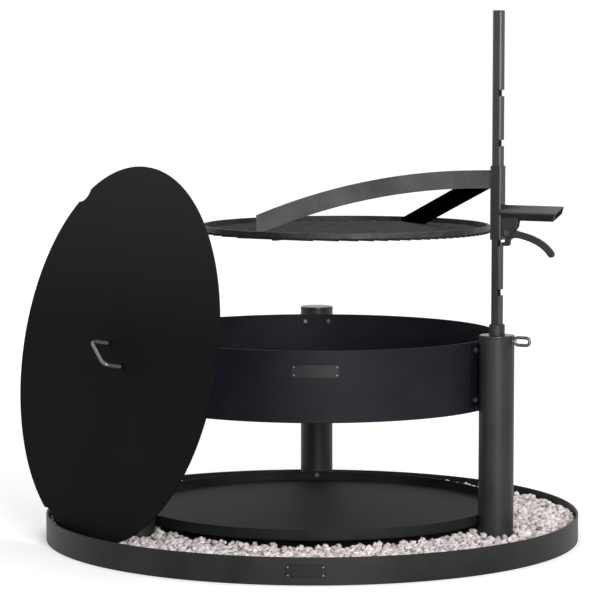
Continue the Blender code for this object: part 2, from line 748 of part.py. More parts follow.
def lever_outline():
    """Side view of the squeeze lever about its pivot: hub, curved tail, and hook with its toe."""
    outline = []
    for share in (0.16, 0.32, 0.46, 0.60, 0.72, 0.82, 0.91, 1.0):
        place, normal = tail_point(share)
        outline.append(tuple(place + normal * TAIL_HALF_DEPTH))
    end, normal = tail_point(1.0)
    start_angle = math.degrees(math.atan2(normal.y, normal.x))
    outline += arc(TAIL_HALF_DEPTH, start_angle - 30.0, start_angle - 150.0, 4, tuple(end))
    for share in (1.0, 0.91, 0.82, 0.72, 0.60, 0.46, 0.32, 0.20):
        place, normal = tail_point(share)
        outline.append(tuple(place - normal * TAIL_HALF_DEPTH))
    outline += [(HOOK_OUTER + 0.009, -0.0105), (HOOK_OUTER + 0.001, -0.0150)]
    outline += arc(0.004, 0.0, -90.0, 3, (HOOK_OUTER - 0.004, TOE_BOTTOM + 0.004))
    outline += [(TOE_TIP + 0.0015, TOE_BOTTOM), (TOE_TIP, TOE_BOTTOM + 0.0015)]
    outline += [(TOE_TIP, TOE_TOP - 0.001), (TOE_TIP + 0.001, TOE_TOP)]
    outline += [(HOOK_INNER - 0.0015, TOE_TOP), (HOOK_INNER, TOE_TOP + 0.0015)]
    outline += arc(HUB_RADIUS, 205.0, 70.0, 8)
    return list(reversed(outline))


def build_latch(carriage):
    """Cheeks, pivot bolt and nut on the sleeve, and the squeeze lever on its own axis."""
    latch_axis = add_empty("latch_axis", (PIVOT_REACH, 0.0, PIVOT_HEIGHT), (0.0, 0.0, 0.0), carriage)
    upright = (math.radians(90.0), 0.0, 0.0)
    hole = circle(M8_RADIUS + HOLE_CLEARANCE, BOLT_STEPS * 2)
    outlines = [lever_outline(), hole]
    lever = flat_outline("latch_lever", outlines, LEVER_THICKNESS, POWDER_BLACK, latch_axis)
    lever.rotation_euler = upright
    inner_side = LEVER_THICKNESS / 2 + LEVER_CLEARANCE
    section = rounded_square(GRIP_SIZE + 2 * GAP, GRIP_CORNER)
    keep_out = flat_outline("grip_clearance", [section], 0.3, POWDER_BLACK, carriage)
    keep_out = to_mesh_object(keep_out, POWDER_BLACK)
    turn = Matrix.Rotation(math.radians(90.0), 4, "Y") @ Matrix.Rotation(math.radians(45.0), 4, "Z")
    keep_out.rotation_euler = turn.to_euler()
    keep_out.location = (0.10, 0.0, GRIP_HEIGHT)
    to_cutters(keep_out)
    outlines = [cheek_outline(), hole]
    for label, side in (("front", -1.0), ("back", 1.0)):
        cheek = flat_outline("latch_cheek_" + label, outlines, CHEEK_THICKNESS, POWDER_BLACK, carriage)
        cheek = to_mesh_object(cheek, POWDER_BLACK)
        cheek.location = (PIVOT_REACH, side * (inner_side + CHEEK_THICKNESS / 2), PIVOT_HEIGHT)
        cheek.rotation_euler = upright
        boolean(cheek, keep_out)
    outer_side = inner_side + CHEEK_THICKNESS + GAP
    head_height = 0.0053
    head = flat_outline("pivot_bolt", [hexagon(M8_NUT_FLATS, 30.0)], head_height, ZINC_BLACK, carriage)
    head = to_mesh_object(head, ZINC_BLACK)
    head.location = (PIVOT_REACH, -outer_side - head_height / 2, PIVOT_HEIGHT)
    head.rotation_euler = upright
    shank_end = outer_side + M8_NUT_HEIGHT + 0.002
    shank_length = shank_end + outer_side + head_height / 2
    lay = Matrix.Rotation(math.radians(90.0), 4, "X")
    shank_place = Matrix.Translation((PIVOT_REACH, shank_end - shank_length / 2, PIVOT_HEIGHT)) @ lay
    shank = cylinder_cutter("pivot_shank", M8_RADIUS, shank_length, [shank_place], BOLT_STEPS * 2, carriage)
    boolean(head, shank, "UNION")
    nut_outlines = [hexagon(M8_NUT_FLATS, 30.0), hole]
    nut = flat_outline("pivot_nut", nut_outlines, M8_NUT_HEIGHT, ZINC_BLACK, carriage)
    nut.location = (PIVOT_REACH, outer_side + M8_NUT_HEIGHT / 2, PIVOT_HEIGHT)
    nut.rotation_euler = upright


def build_clamp(clamp):
    """Clamp screw with its bent loop handle, and the nut welded inside the post for it."""
    bend = LOOP_HALF_HEIGHT
    loop = [(x, 0.0, y) for x, y in arc(bend, -90.0, 90.0, 8, (LOOP_FAR - bend, 0.0))]
    loop += [(x, 0.0, y) for x, y in arc(bend, 90.0, 270.0, 8, (LOOP_NEAR + bend, 0.0))]
    handle = bent_rod("clamp_screw", loop, LOOP_ROD, ZINC_PLATED, cyclic=True, parent=clamp)
    handle = to_mesh_object(handle, ZINC_PLATED)
    length = LOOP_NEAR - CLAMP_TIP
    lay = Matrix.Rotation(math.radians(90.0), 4, "Y")
    place = Matrix.Translation((CLAMP_TIP + length / 2, 0.0, 0.0)) @ lay
    shank = cylinder_cutter("clamp_shank", M8_RADIUS, length, [place], BOLT_STEPS * 2, clamp)
    boolean(handle, shank, "UNION")
    smooth(handle, 40.0)
    nut_mesh = hex_nut_mesh(M8_NUT_FLATS, M8_NUT_HEIGHT, M8_RADIUS)
    turn = Matrix.Translation((CLAMP_NUT_SEAT, 0.0, 0.0)) @ lay
    fastener("clamp_nut", nut_mesh, turn @ Matrix.Rotation(math.radians(30.0), 4, "Z"), clamp)


def lid_outline():
    """Round lid with three rim notches that clear the posts when it lies on the bowl."""
    cosine = (LID_RADIUS ** 2 + POST_CIRCLE ** 2 - NOTCH_RADIUS ** 2) / (2 * LID_RADIUS * POST_CIRCLE)
    half_notch = math.degrees(math.acos(cosine))
    corner = Vector((LID_RADIUS * cosine, LID_RADIUS * math.sin(math.radians(half_notch))))
    corner -= Vector((POST_CIRCLE, 0.0))
    opening = math.degrees(math.atan2(corner.y, corner.x))
    outline = []
    for index, angle in enumerate(NOTCH_ANGLES):
        centre = polar(POST_CIRCLE, angle).xy
        first = angle + 360.0 - opening
        outline += arc(NOTCH_RADIUS, first, angle + opening, NOTCH_STEPS, tuple(centre))
        next_angle = NOTCH_ANGLES[(index + 1) % 3] + (360.0 if index == 2 else 0.0)
        rim_steps = LID_STEPS // 3
        outline += arc(LID_RADIUS, angle + half_notch, next_angle - half_notch, rim_steps)[1:-1]
    return outline


def handle_path():
    """Centre line of the lid handle: through the lid, out, across and back, with round bends."""
    half = LID_HANDLE_SPREAD / 2
    low = -LID_THICKNESS / 2 - LID_HANDLE_TAIL
    inner = half - LID_HANDLE_BEND
    points = [(-half, low)]
    points += arc(LID_HANDLE_BEND, 180.0, 90.0, 6, (-inner, LID_HANDLE_HEIGHT - LID_HANDLE_BEND))
    points += arc(LID_HANDLE_BEND, 90.0, 0.0, 6, (inner, LID_HANDLE_HEIGHT - LID_HANDLE_BEND))
    points.append((half, low))
    turn = math.radians(LID_HANDLE_ANGLE)
    return [(x * math.cos(turn), x * math.sin(turn), z) for x, z in points]


def build_lid(seat):
    """Lid plate and the bent rod handle that passes through it."""
    turn = math.radians(LID_HANDLE_ANGLE)
    half = LID_HANDLE_SPREAD / 2
    legs = [(side * half * math.cos(turn), side * half * math.sin(turn)) for side in (-1.0, 1.0)]
    holes = [circle(LID_HANDLE_ROD / 2 + HOLE_CLEARANCE, BOLT_STEPS, leg) for leg in legs]
    flat_outline("lid_plate", [lid_outline()] + holes, LID_THICKNESS, POWDER_BLACK, seat)
    bent_rod("lid_handle", handle_path(), LID_HANDLE_ROD, POWDER_BLACK, parent=seat)


def main():
    """Build every sub-assembly on its own axis."""
    clear_scene()
    new_collection("fire_bowl_with_grill_grate")
    new_collection("cutters")
    build_base()
    build_posts()
    build_socket()
    build_bowl()
    build_shelf()
    azimuth = POST_AZIMUTHS["front_right"]
    facing = (0.0, 0.0, math.radians(azimuth))
    mast = add_empty("mast_axis", polar(POST_CIRCLE, azimuth), facing)
    carriage = add_empty("grate_carriage", (0.0, 0.0, 0.0), (0.0, 0.0, 0.0), mast)
    build_mast(mast)
    build_grate(carriage)
    build_grip(carriage)
    build_latch(carriage)
    clamp = add_empty("clamp_axis", polar(POST_CIRCLE, azimuth, CLAMP_HEIGHT), facing)
    build_clamp(clamp)
    lid_seat = add_empty("lid_seat", (0.0, 0.0, 0.0), (0.0, 0.0, 0.0))
    lid_seat.matrix_world = lid_placement()
    build_lid(lid_seat)
    bpy.context.view_layer.update()


main()
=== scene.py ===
"""Looks for the fire bowl with grill grate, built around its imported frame.

Units are metres and +Z is up. The origin is on the ground, on the bowl's axis.
"""

import logging
import math
import random
from dataclasses import dataclass, field
from enum import Enum
from typing import Iterable, Optional, Sequence, Union

import bmesh
import bpy
from mathutils import Matrix, Vector


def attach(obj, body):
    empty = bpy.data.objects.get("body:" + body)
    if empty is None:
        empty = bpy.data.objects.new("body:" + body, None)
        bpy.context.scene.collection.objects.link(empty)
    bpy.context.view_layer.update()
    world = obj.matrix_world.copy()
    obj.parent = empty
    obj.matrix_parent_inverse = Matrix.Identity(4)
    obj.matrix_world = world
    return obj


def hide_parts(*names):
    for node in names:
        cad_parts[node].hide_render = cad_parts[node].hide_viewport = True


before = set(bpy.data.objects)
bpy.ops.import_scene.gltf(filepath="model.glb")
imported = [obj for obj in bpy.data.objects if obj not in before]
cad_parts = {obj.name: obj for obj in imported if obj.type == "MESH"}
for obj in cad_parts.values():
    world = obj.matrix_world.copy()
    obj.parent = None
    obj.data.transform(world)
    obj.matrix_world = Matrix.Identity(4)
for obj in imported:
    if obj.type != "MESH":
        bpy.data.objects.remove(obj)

LOG = logging.getLogger("fire_bowl")
STONE_TONE = "stone_tone"
MERGE_DISTANCE = 0.000005
NODE_MERGE_DISTANCE = 0.00001
# Least and greatest weld drop, as shares of the bead's radius
DROP_SIZES = (0.88, 1.08)

Point = tuple[float, float]
Pair = tuple[float, float]
Tree = bpy.types.NodeTree
Socket = bpy.types.NodeSocket
Material = bpy.types.Material
Shape = bmesh.types.BMesh
Piece = bpy.types.Object

# Sockets of a Mix node that mixes colours
FACTOR, BELOW, ABOVE, MIXED = 0, 6, 7, 2


class Shading(Enum):
    """How a piece's faces meet in the light, by the angle in degrees past which an edge is sharp."""

    FACETED = 0.0
    CREASED = 32.0
    ROUND = 60.0


class Side(Enum):
    """Side of the latch and of the arms, by its sign along the mast's own Y axis."""

    FRONT = -1.0
    BACK = 1.0


def linear(hex_text: str) -> tuple[float, float, float, float]:
    """Turns an sRGB hex colour into linear light.

    Args:
        hex_text: Six digits after a hash sign.

    Returns:
        Red, green, blue and an alpha of one.
    """
    parts = [int(hex_text[at:at + 2], 16) / 255.0 for at in (1, 3, 5)]
    red, green, blue = [p / 12.92 if p <= 0.04045 else ((p + 0.055) / 1.055) ** 2.4 for p in parts]
    return red, green, blue, 1.0


def add_node(tree: Tree, kind: str, settings: Optional[dict] = None,
             links: Optional[dict] = None) -> bpy.types.Node:
    """Adds one node with its settings and incoming links.

    Args:
        tree: Node tree that gets the node.
        kind: Blender's type name of the node.
        settings: Values by property name, or by the name or index of an input.
        links: Output sockets by the name or index of the input that they feed.

    Returns:
        The new node.
    """
    node = tree.nodes.new(kind)
    for name, value in (settings or {}).items():
        if isinstance(name, str) and hasattr(node, name):
            setattr(node, name, value)
        else:
            node.inputs[name].default_value = value
    for name, socket in (links or {}).items():
        tree.links.new(socket, node.inputs[name])
    return node


def per_metre(millimetres: float) -> float:
    """Pattern scale that gives features of a size in millimetres."""
    return 1000.0 / millimetres


def blank_material(name: str) -> tuple[Material, Tree, bpy.types.Node]:
    """Makes a material that holds only its Principled shader.

    Args:
        name: The finish's real name.

    Returns:
        The material, its node tree and its shader.
    """
    material = bpy.data.materials.new(name)
    material.use_nodes = True
    tree = material.node_tree
    return material, tree, tree.nodes["Principled BSDF"]


def polar(radius: float, azimuth: float, height: float = 0.0) -> Vector:
    """Point at a radius, an azimuth in degrees and a height."""
    angle = math.radians(azimuth)
    return Vector((radius * math.cos(angle), radius * math.sin(angle), height))


POST_CIRCLE = 0.4401
POST_RADIUS = 0.0375
POST_TOP = 0.467
POST_AZIMUTHS = {"front_right": -30.0, "front_left": 210.0, "back": 90.0}
MAST = (Matrix.Translation(polar(POST_CIRCLE, POST_AZIMUTHS["front_right"]))
        @ Matrix.Rotation(math.radians(POST_AZIMUTHS["front_right"]), 4, "Z"))


@dataclass(frozen=True)
class PowderCoat:
    """Powder or silicone paint baked on steel: black, with a faint orange peel and fine grit."""

    name: str
    colour: str
    dust_and_sheen: str
    roughness: float = 0.42
    specular: float = 0.5
    peel_mm: float = 3.2
    grit_mm: float = 1.1
    cloud_mm: float = 85.0
    speckle: float = 0.55
    bump: float = 0.16

    def material(self) -> Material:
        """Builds the node material.

        Returns:
            The material.
        """
        material, tree, shader = blank_material(self.name)
        place = add_node(tree, "ShaderNodeTexCoord").outputs["Object"]
        # Broad clouds of dust and handling, as wide as a hand or wider on most pieces; on the front arm they
        # are painted reflections
        clouds = add_node(tree, "ShaderNodeTexNoise", {"Scale": per_metre(self.cloud_mm), "Detail": 4.0,
                                                       "Roughness": 0.6}, {"Vector": place})
        tone = add_node(tree, "ShaderNodeMapRange", {"From Min": 0.38, "From Max": 0.72},
                        {"Value": clouds.outputs["Fac"]})
        # The grit of a real coat is finer than this; it is drawn coarser so that it shows
        grit = add_node(tree, "ShaderNodeTexNoise", {"Scale": per_metre(self.grit_mm), "Detail": 2.0},
                        {"Vector": place})
        speck = add_node(tree, "ShaderNodeMapRange", {"From Min": 0.25, "From Max": 0.75,
                                                      "To Min": 1.0 - self.speckle},
                         {"Value": grit.outputs["Fac"]})
        share = add_node(tree, "ShaderNodeMath", {"operation": "MULTIPLY"},
                         {0: tone.outputs["Result"], 1: speck.outputs["Result"]})
        # Mixes towards the second colour: dust on most pieces, painted reflection on the front arm
        mix = add_node(tree, "ShaderNodeMix", {"data_type": "RGBA", BELOW: linear(self.colour),
                                               ABOVE: linear(self.dust_and_sheen)}, {FACTOR: share.outputs["Value"]})
        colour = self.over_coat(tree, mix.outputs[MIXED], grit.outputs["Fac"])
        tree.links.new(colour, shader.inputs["Base Color"])
        # Orange peel: the coat's slight waviness
        peel = add_node(tree, "ShaderNodeTexNoise", {"Scale": per_metre(self.peel_mm), "Detail": 2.0},
                        {"Vector": place})
        height = add_node(tree, "ShaderNodeMath", {"operation": "MULTIPLY_ADD", 1: 0.4},
                          {0: grit.outputs["Fac"], 2: peel.outputs["Fac"]})
        bump = add_node(tree, "ShaderNodeBump", {"Strength": self.bump, "Distance": 0.0006},
                        {"Height": height.outputs["Value"]})
        tree.links.new(bump.outputs["Normal"], shader.inputs["Normal"])
        rough = add_node(tree, "ShaderNodeMapRange", {"To Min": self.roughness - 0.05,
                                                      "To Max": self.roughness + 0.07},
                         {"Value": clouds.outputs["Fac"]})
        tree.links.new(rough.outputs["Result"], shader.inputs["Roughness"])
        shader.inputs["Specular IOR Level"].default_value = self.specular
        return material

    def over_coat(self, tree: Tree, colour: Socket, grit: Socket) -> Socket:
        """Colour with any painted light laid over the coat; a plain coat has none."""
        return colour


@dataclass(frozen=True)
class CornerHighlightCoat(PowderCoat):
    """Powder coat of a square tube, with a painted highlight along its corners and painted shade towards its
    foot.
    """

    half_width: float = 0.010
    fade_start: float = 0.0036
    fade_end: float = 0.0018
    # Painted light: the colours, heights and shares of the corner highlight and of the shade towards the
    # foot
    corner_highlight: str = "#8e8e8f"
    foot_shade: str = "#08080a"
    shaded_height: float = 0.55
    lit_height: float = 1.05
    foot_shade_share: float = 0.45
    least_highlight: float = 0.05

    def over_coat(self, tree: Tree, colour: Socket, grit: Socket) -> Socket:
        """Lays painted shade towards the foot and painted highlights along the corners over the coat.

        Args:
            tree: Node tree of the material.
            colour: Colour of the coat.
            grit: Grit of the coat, which breaks the marks up.

        Returns:
            The colour with its painted shade and its painted corner highlights.
        """
        place = add_node(tree, "ShaderNodeTexCoord").outputs["Object"]
        across = add_node(tree, "ShaderNodeMapping", {"vector_type": "TEXTURE",
                                                      "Location": MAST.to_translation(),
                                                      "Rotation": MAST.to_euler()}, {"Vector": place})
        folded = add_node(tree, "ShaderNodeVectorMath", {"operation": "ABSOLUTE"},
                          {0: across.outputs["Vector"]})
        parts = add_node(tree, "ShaderNodeSeparateXYZ", {}, {0: folded.outputs["Vector"]})
        out = add_node(tree, "ShaderNodeMath", {"operation": "ADD"},
                       {0: parts.outputs["X"], 1: parts.outputs["Y"]})
        # The painted highlight grows from about a millimetre beside the corner's round to nearly the round's
        # middle
        near = add_node(tree, "ShaderNodeMapRange", {"From Min": 2 * self.half_width - self.fade_start,
                                                     "From Max": 2 * self.half_width - self.fade_end},
                        {"Value": out.outputs["Value"]})
        # Both change with height: the painted shade thins upwards, and the painted highlight grows
        span = {"From Min": self.shaded_height, "From Max": self.lit_height}
        foot_shade_share = add_node(tree, "ShaderNodeMapRange", {**span, "To Min": self.foot_shade_share, "To Max": 0.0},
                         {"Value": parts.outputs["Z"]})
        dark = add_node(tree, "ShaderNodeMix", {"data_type": "RGBA", ABOVE: linear(self.foot_shade)},
                        {FACTOR: foot_shade_share.outputs["Result"], BELOW: colour})
        highlight_share = add_node(tree, "ShaderNodeMapRange", {**span, "To Min": self.least_highlight},
                        {"Value": parts.outputs["Z"]})
        marks = add_node(tree, "ShaderNodeMath", {"operation": "MULTIPLY"},
                         {0: near.outputs["Result"], 1: highlight_share.outputs["Result"]})
        uneven = add_node(tree, "ShaderNodeMath", {"operation": "MULTIPLY"},
                          {0: marks.outputs["Value"], 1: grit})
        mix = add_node(tree, "ShaderNodeMix", {"data_type": "RGBA", ABOVE: linear(self.corner_highlight)},
                       {FACTOR: uneven.outputs["Value"], BELOW: dark.outputs[MIXED]})
        return mix.outputs[MIXED]


@dataclass(frozen=True)
class PaintedSheenCoat(PowderCoat):
    """Powder coat with a painted sheen, a paler painted reflection that grows with height."""

    sheen: str = "#252525"
    dull_height: float = 0.48
    sheen_height: float = 0.80

    def over_coat(self, tree: Tree, colour: Socket, grit: Socket) -> Socket:
        """Lays the painted sheen over the coat.

        Args:
            tree: Node tree of the material.
            colour: Colour of the coat.
            grit: Grit of the coat; not used here.

        Returns:
            The colour with its painted sheen.
        """
        place = add_node(tree, "ShaderNodeTexCoord").outputs["Object"]
        parts = add_node(tree, "ShaderNodeSeparateXYZ", {}, {0: place})
        # The painted sheen grows between the two heights
        share = add_node(tree, "ShaderNodeMapRange", {"From Min": self.dull_height,
                                                      "From Max": self.sheen_height},
                         {"Value": parts.outputs["Z"]})
        mix = add_node(tree, "ShaderNodeMix", {"data_type": "RGBA", ABOVE: linear(self.sheen)},
                       {FACTOR: share.outputs["Result"], BELOW: colour})
        return mix.outputs[MIXED]


@dataclass(frozen=True)
class DrawnSteel:
    """Drawn or rolled steel, bare or plated, with fine marks of its making and stains of use."""

    name: str
    colour: str
    stain: str
    metallic: float = 0.8
    roughness: float = 0.38
    specular: float = 0.5
    mark_mm: float = 0.9
    stain_mm: float = 26.0

    def material(self) -> Material:
        """Builds the node material.

        Returns:
            The material.
        """
        material, tree, shader = blank_material(self.name)
        place = add_node(tree, "ShaderNodeTexCoord").outputs["Object"]
        stains = add_node(tree, "ShaderNodeTexNoise", {"Scale": per_metre(self.stain_mm), "Detail": 5.0,
                                                       "Roughness": 0.65}, {"Vector": place})
        share = add_node(tree, "ShaderNodeMapRange", {"From Min": 0.42, "From Max": 0.68},
                         {"Value": stains.outputs["Fac"]})
        mix = add_node(tree, "ShaderNodeMix", {"data_type": "RGBA", BELOW: linear(self.colour),
                                               ABOVE: linear(self.stain)}, {FACTOR: share.outputs["Result"]})
        tree.links.new(mix.outputs[MIXED], shader.inputs["Base Color"])
        # Marks of the die or the rolls, drawn as coarse as they need to be to show
        marks = add_node(tree, "ShaderNodeTexNoise", {"Scale": per_metre(self.mark_mm), "Detail": 1.0},
                         {"Vector": place})
        bump = add_node(tree, "ShaderNodeBump", {"Strength": 0.12, "Distance": 0.0003},
                        {"Height": marks.outputs["Fac"]})
        tree.links.new(bump.outputs["Normal"], shader.inputs["Normal"])
        rough = add_node(tree, "ShaderNodeMapRange", {"To Min": self.roughness - 0.08,
                                                      "To Max": self.roughness + 0.12},
                         {"Value": stains.outputs["Fac"]})
        tree.links.new(rough.outputs["Result"], shader.inputs["Roughness"])
        shader.inputs["Metallic"].default_value = self.metallic
        shader.inputs["Specular IOR Level"].default_value = self.specular
        return material


@dataclass(frozen=True)
class MouldedPlastic:
    """Moulded polyethylene: matt black with a fine spark-eroded grain."""

    name: str
    colour: str
    roughness: float = 0.6
    grain_mm: float = 0.8

    def material(self) -> Material:
        """Builds the node material.

        Returns:
            The material.
        """
        material, tree, shader = blank_material(self.name)
        place = add_node(tree, "ShaderNodeTexCoord").outputs["Object"]
        # A real grain is finer; it is drawn coarser so that it shows
        grain = add_node(tree, "ShaderNodeTexNoise", {"Scale": per_metre(self.grain_mm), "Detail": 2.0},
                         {"Vector": place})
        bump = add_node(tree, "ShaderNodeBump", {"Strength": 0.2, "Distance": 0.0002},
                        {"Height": grain.outputs["Fac"]})
        tree.links.new(bump.outputs["Normal"], shader.inputs["Normal"])
        shader.inputs["Base Color"].default_value = linear(self.colour)
        shader.inputs["Roughness"].default_value = self.roughness
        return material


@dataclass(frozen=True)
class BrokenStone:
    """Crushed granite: dry and rough, each stone with a tone of its own."""

    name: str
    pale: str
    dark: str
    warm: str
    grain_mm: float = 2.2

    def material(self) -> Material:
        """Builds the node material.

        Returns:
            The material.
        """
        material, tree, shader = blank_material(self.name)
        place = add_node(tree, "ShaderNodeTexCoord").outputs["Object"]
        tone = add_node(tree, "ShaderNodeAttribute", {"attribute_name": STONE_TONE}).outputs["Fac"]
        body = add_node(tree, "ShaderNodeMix", {"data_type": "RGBA", BELOW: linear(self.dark),
                                                ABOVE: linear(self.pale)}, {FACTOR: tone})
        # Crystals of feldspar and mica, a few millimetres across
        grains = add_node(tree, "ShaderNodeTexNoise", {"Scale": per_metre(self.grain_mm), "Detail": 3.0,
                                                       "Roughness": 0.7}, {"Vector": place})
        share = add_node(tree, "ShaderNodeMapRange", {"From Min": 0.45, "From Max": 0.75, "To Max": 0.5},
                         {"Value": grains.outputs["Fac"]})
        crystal = add_node(tree, "ShaderNodeMix", {"data_type": "RGBA", ABOVE: linear(self.warm)},
                           {FACTOR: share.outputs["Result"], BELOW: body.outputs[MIXED]})
        tree.links.new(crystal.outputs[MIXED], shader.inputs["Base Color"])
        bump = add_node(tree, "ShaderNodeBump", {"Strength": 0.5, "Distance": 0.0008},
                        {"Height": grains.outputs["Fac"]})
        tree.links.new(bump.outputs["Normal"], shader.inputs["Normal"])
        shader.inputs["Roughness"].default_value = 0.88
        shader.inputs["Specular IOR Level"].default_value = 0.3
        return material


Finish = Union[PowderCoat, DrawnSteel, MouldedPlastic, BrokenStone]

FINISHES: dict[str, Finish] = {
    # Satin black: a soft, wide highlight along the posts and on the latch
    "satin": PowderCoat("powder_coated_steel_satin_black", "#242425", "#323233",
                        roughness=0.42, specular=0.20),
    # Glossier: the grip and the post caps catch a clear line of light at their edges
    "grip": PowderCoat("powder_coated_grip_semi_gloss", "#1f1f20", "#303031",
                       roughness=0.28, specular=0.45),
    # Dark grey flats between corners with a painted highlight, darker towards the foot with painted shade
    "pole": CornerHighlightCoat("powder_coated_pole_painted_corner_highlights", "#2a2a2b", "#3b3b3c",
                       roughness=0.38, specular=0.28),
    # Nearly black flats with a fine painted highlight down each corner, and painted shade towards the foot
    "sleeve": CornerHighlightCoat("powder_coated_sleeve_painted_corner_highlights", "#1c1c1d", "#2c2c2d",
                         roughness=0.36, specular=0.32, half_width=0.0125),
    # Black with grey patches about a hand wide: painted reflections
    "arm": PowderCoat("powder_coated_arm_satin_black", "#0f0f10", "#474748",
                      roughness=0.44, specular=0.17, cloud_mm=105.0, speckle=0.35),
    # Gloss: a bright line of light along the round rod of the lid's handle
    "bail": PowderCoat("powder_coated_rod_gloss_black", "#454546", "#5a5a5b",
                       roughness=0.20, specular=0.9),
    # Painted shade: the posts' coat darkened to even charcoal with little shine
    "ring": PowderCoat("powder_coated_ring_painted_shade", "#18181a", "#2b2b2c",
                       roughness=0.46, specular=0.16, cloud_mm=140.0),
    # Matt, so the tray's wide floor stays dark under the light from above
    "tray": PowderCoat("powder_coated_tray_matt_black", "#161617", "#29292a",
                       roughness=0.62, specular=0.10, cloud_mm=140.0),
    # Painted shade: near black and without highlight, so the back arm shows as a black outline
    "shaded_arm": PowderCoat("powder_coated_steel_painted_shade", "#020202", "#050505",
                         roughness=0.85, specular=0.0),
    # Near black, with a painted sheen that makes it paler towards the top
    "lid": PaintedSheenCoat("powder_coated_lid_matt_black", "#050505", "#121212",
                      roughness=0.62, specular=0.035, cloud_mm=330.0),
    # Heat-proof paint: blue-black and nearly matt
    "bowl": PowderCoat("heat_proof_silicone_paint_black", "#121318", "#1d1e24",
                       roughness=0.54, specular=0.09, cloud_mm=150.0),
    # Painted shade by the posts: the bowl's paint made darker, with less blue in it
    "bracket": PowderCoat("heat_proof_silicone_paint_painted_shade", "#0b0b0d", "#141417",
                          roughness=0.55, specular=0.06),
    # Small clouds, so that a little plate isn't one flat tone
    "plate": PowderCoat("powder_coated_pressed_plate", "#0f0f11", "#1b1b1e",
                        roughness=0.42, specular=0.18, cloud_mm=18.0),
    # Heat has turned the bar grey, with near-black stains and a dull shine
    "hoop": DrawnSteel("rolled_flat_bar_seasoned", "#2e2e2f", "#101010",
                       metallic=0.10, roughness=0.50, specular=0.25),
    # Seasoning leaves the rods dull, and darker than the hoop
    "rod": DrawnSteel("drawn_steel_rod_seasoned", "#242425", "#050505",
                      metallic=0.0, roughness=0.62, specular=0.25),
    # Dark metal with a small glint on each head
    "fastener": DrawnSteel("black_zinc_plated_fastener", "#4a4a4c", "#2e2e30",
                           metallic=0.6, roughness=0.34),
    # Grey metal that mirrors the light
    "zinc": DrawnSteel("clear_zinc_plated_rod", "#6b6c6f", "#454649", metallic=0.9, roughness=0.26),
    # Bare metal, the palest on the plates
    "rivet": DrawnSteel("rivet_head_burnished", "#77777b", "#515155", metallic=0.8, roughness=0.3),
    # Black with a grainy, scattered shine
    "plug": MouldedPlastic("moulded_polyethylene_black", "#141414"),
    # Pale pinkish grey, each stone lighter or darker than the next
    "stone": BrokenStone("crushed_granite_pale", "#ece2e2", "#776f6d", "#b3a7a3"),
    # Painted shade: the dark that shows in the gaps between the stones
    "gap_shade": BrokenStone("crushed_granite_painted_gap_shade", "#4f4a48", "#2f2c2b", "#3f3b38"),
}


def gather(shapes: Iterable[Shape]) -> Shape:
    """Joins many small shapes into one, and frees them.

    Args:
        shapes: The small shapes.

    Returns:
        One shape that holds them all.
    """
    whole = bmesh.new()
    carrier = bpy.data.meshes.new("carrier")
    for shape in shapes:
        shape.to_mesh(carrier)
        shape.free()
        whole.from_mesh(carrier)
    bpy.data.meshes.remove(carrier)
    return whole


def smooth_mesh(mesh: bpy.types.Mesh, shading: Shading) -> None:
    """Sets smooth faces with creases kept sharp, or leaves the faces flat.

    Args:
        mesh: The mesh.
        shading: How its faces meet.
    """
    if shading is Shading.FACETED:
        mesh.shade_flat()
        return
    mesh.shade_smooth()
    mesh.set_sharp_from_angle(angle=math.radians(shading.value))


def new_piece(name: str, work: Shape, shading: Shading = Shading.CREASED) -> Piece:
    """Closes a shape into a piece at the origin.

    Args:
        name: The piece's name.
        work: The shape, in the row frame. It is freed.
        shading: How its faces meet.

    Returns:
        The linked object.
    """
    bmesh.ops.remove_doubles(work, verts=work.verts, dist=MERGE_DISTANCE)
    bmesh.ops.recalc_face_normals(work, faces=work.faces)
    return link_piece(name, work, shading)


def link_piece(name: str, work: Shape, shading: Shading) -> Piece:
    """Turns a shape into a linked object as it is.

    Args:
        name: The piece's name.
        work: The shape, in the row frame. It is freed.
        shading: How its faces meet.

    Returns:
        The linked object.
    """
    mesh = bpy.data.meshes.new(name)
    work.to_mesh(mesh)
    work.free()
    smooth_mesh(mesh, shading)
    piece = bpy.data.objects.new(name, mesh)
    bpy.context.scene.collection.objects.link(piece)
    return piece


def round_edges(piece: Piece, width: float) -> None:
    """Adds small rounded edges that leave the flat faces flat.

    Args:
        piece: The piece, or a CAD node.
        width: Width of the rounding.
    """
    bevel = piece.modifiers.new("rounded_edges", "BEVEL")
    bevel.width = width
    bevel.segments = 2
    bevel.limit_method = "ANGLE"
    bevel.angle_limit = math.radians(Shading.CREASED.value)
    bevel.harden_normals = True


def finish_piece(piece: Piece, material: Material, body: str,
                 stands_for: Sequence[str] = (), edge: float = 0.0) -> None:
    """Finishes a piece and ties it to the frame.

    Args:
        piece: The piece.
        material: Its finish.
        body: The CAD body that it moves with.
        stands_for: CAD nodes that it replaces.
        edge: Width of its rounded edges, or zero for none.
    """
    piece.data.materials.append(material)
    if edge > 0.0:
        round_edges(piece, edge)
    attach(piece, body)
    if stands_for:
        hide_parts(*stands_for)
    LOG.info("%s on %s, %d faces", piece.name, body, len(piece.data.polygons))


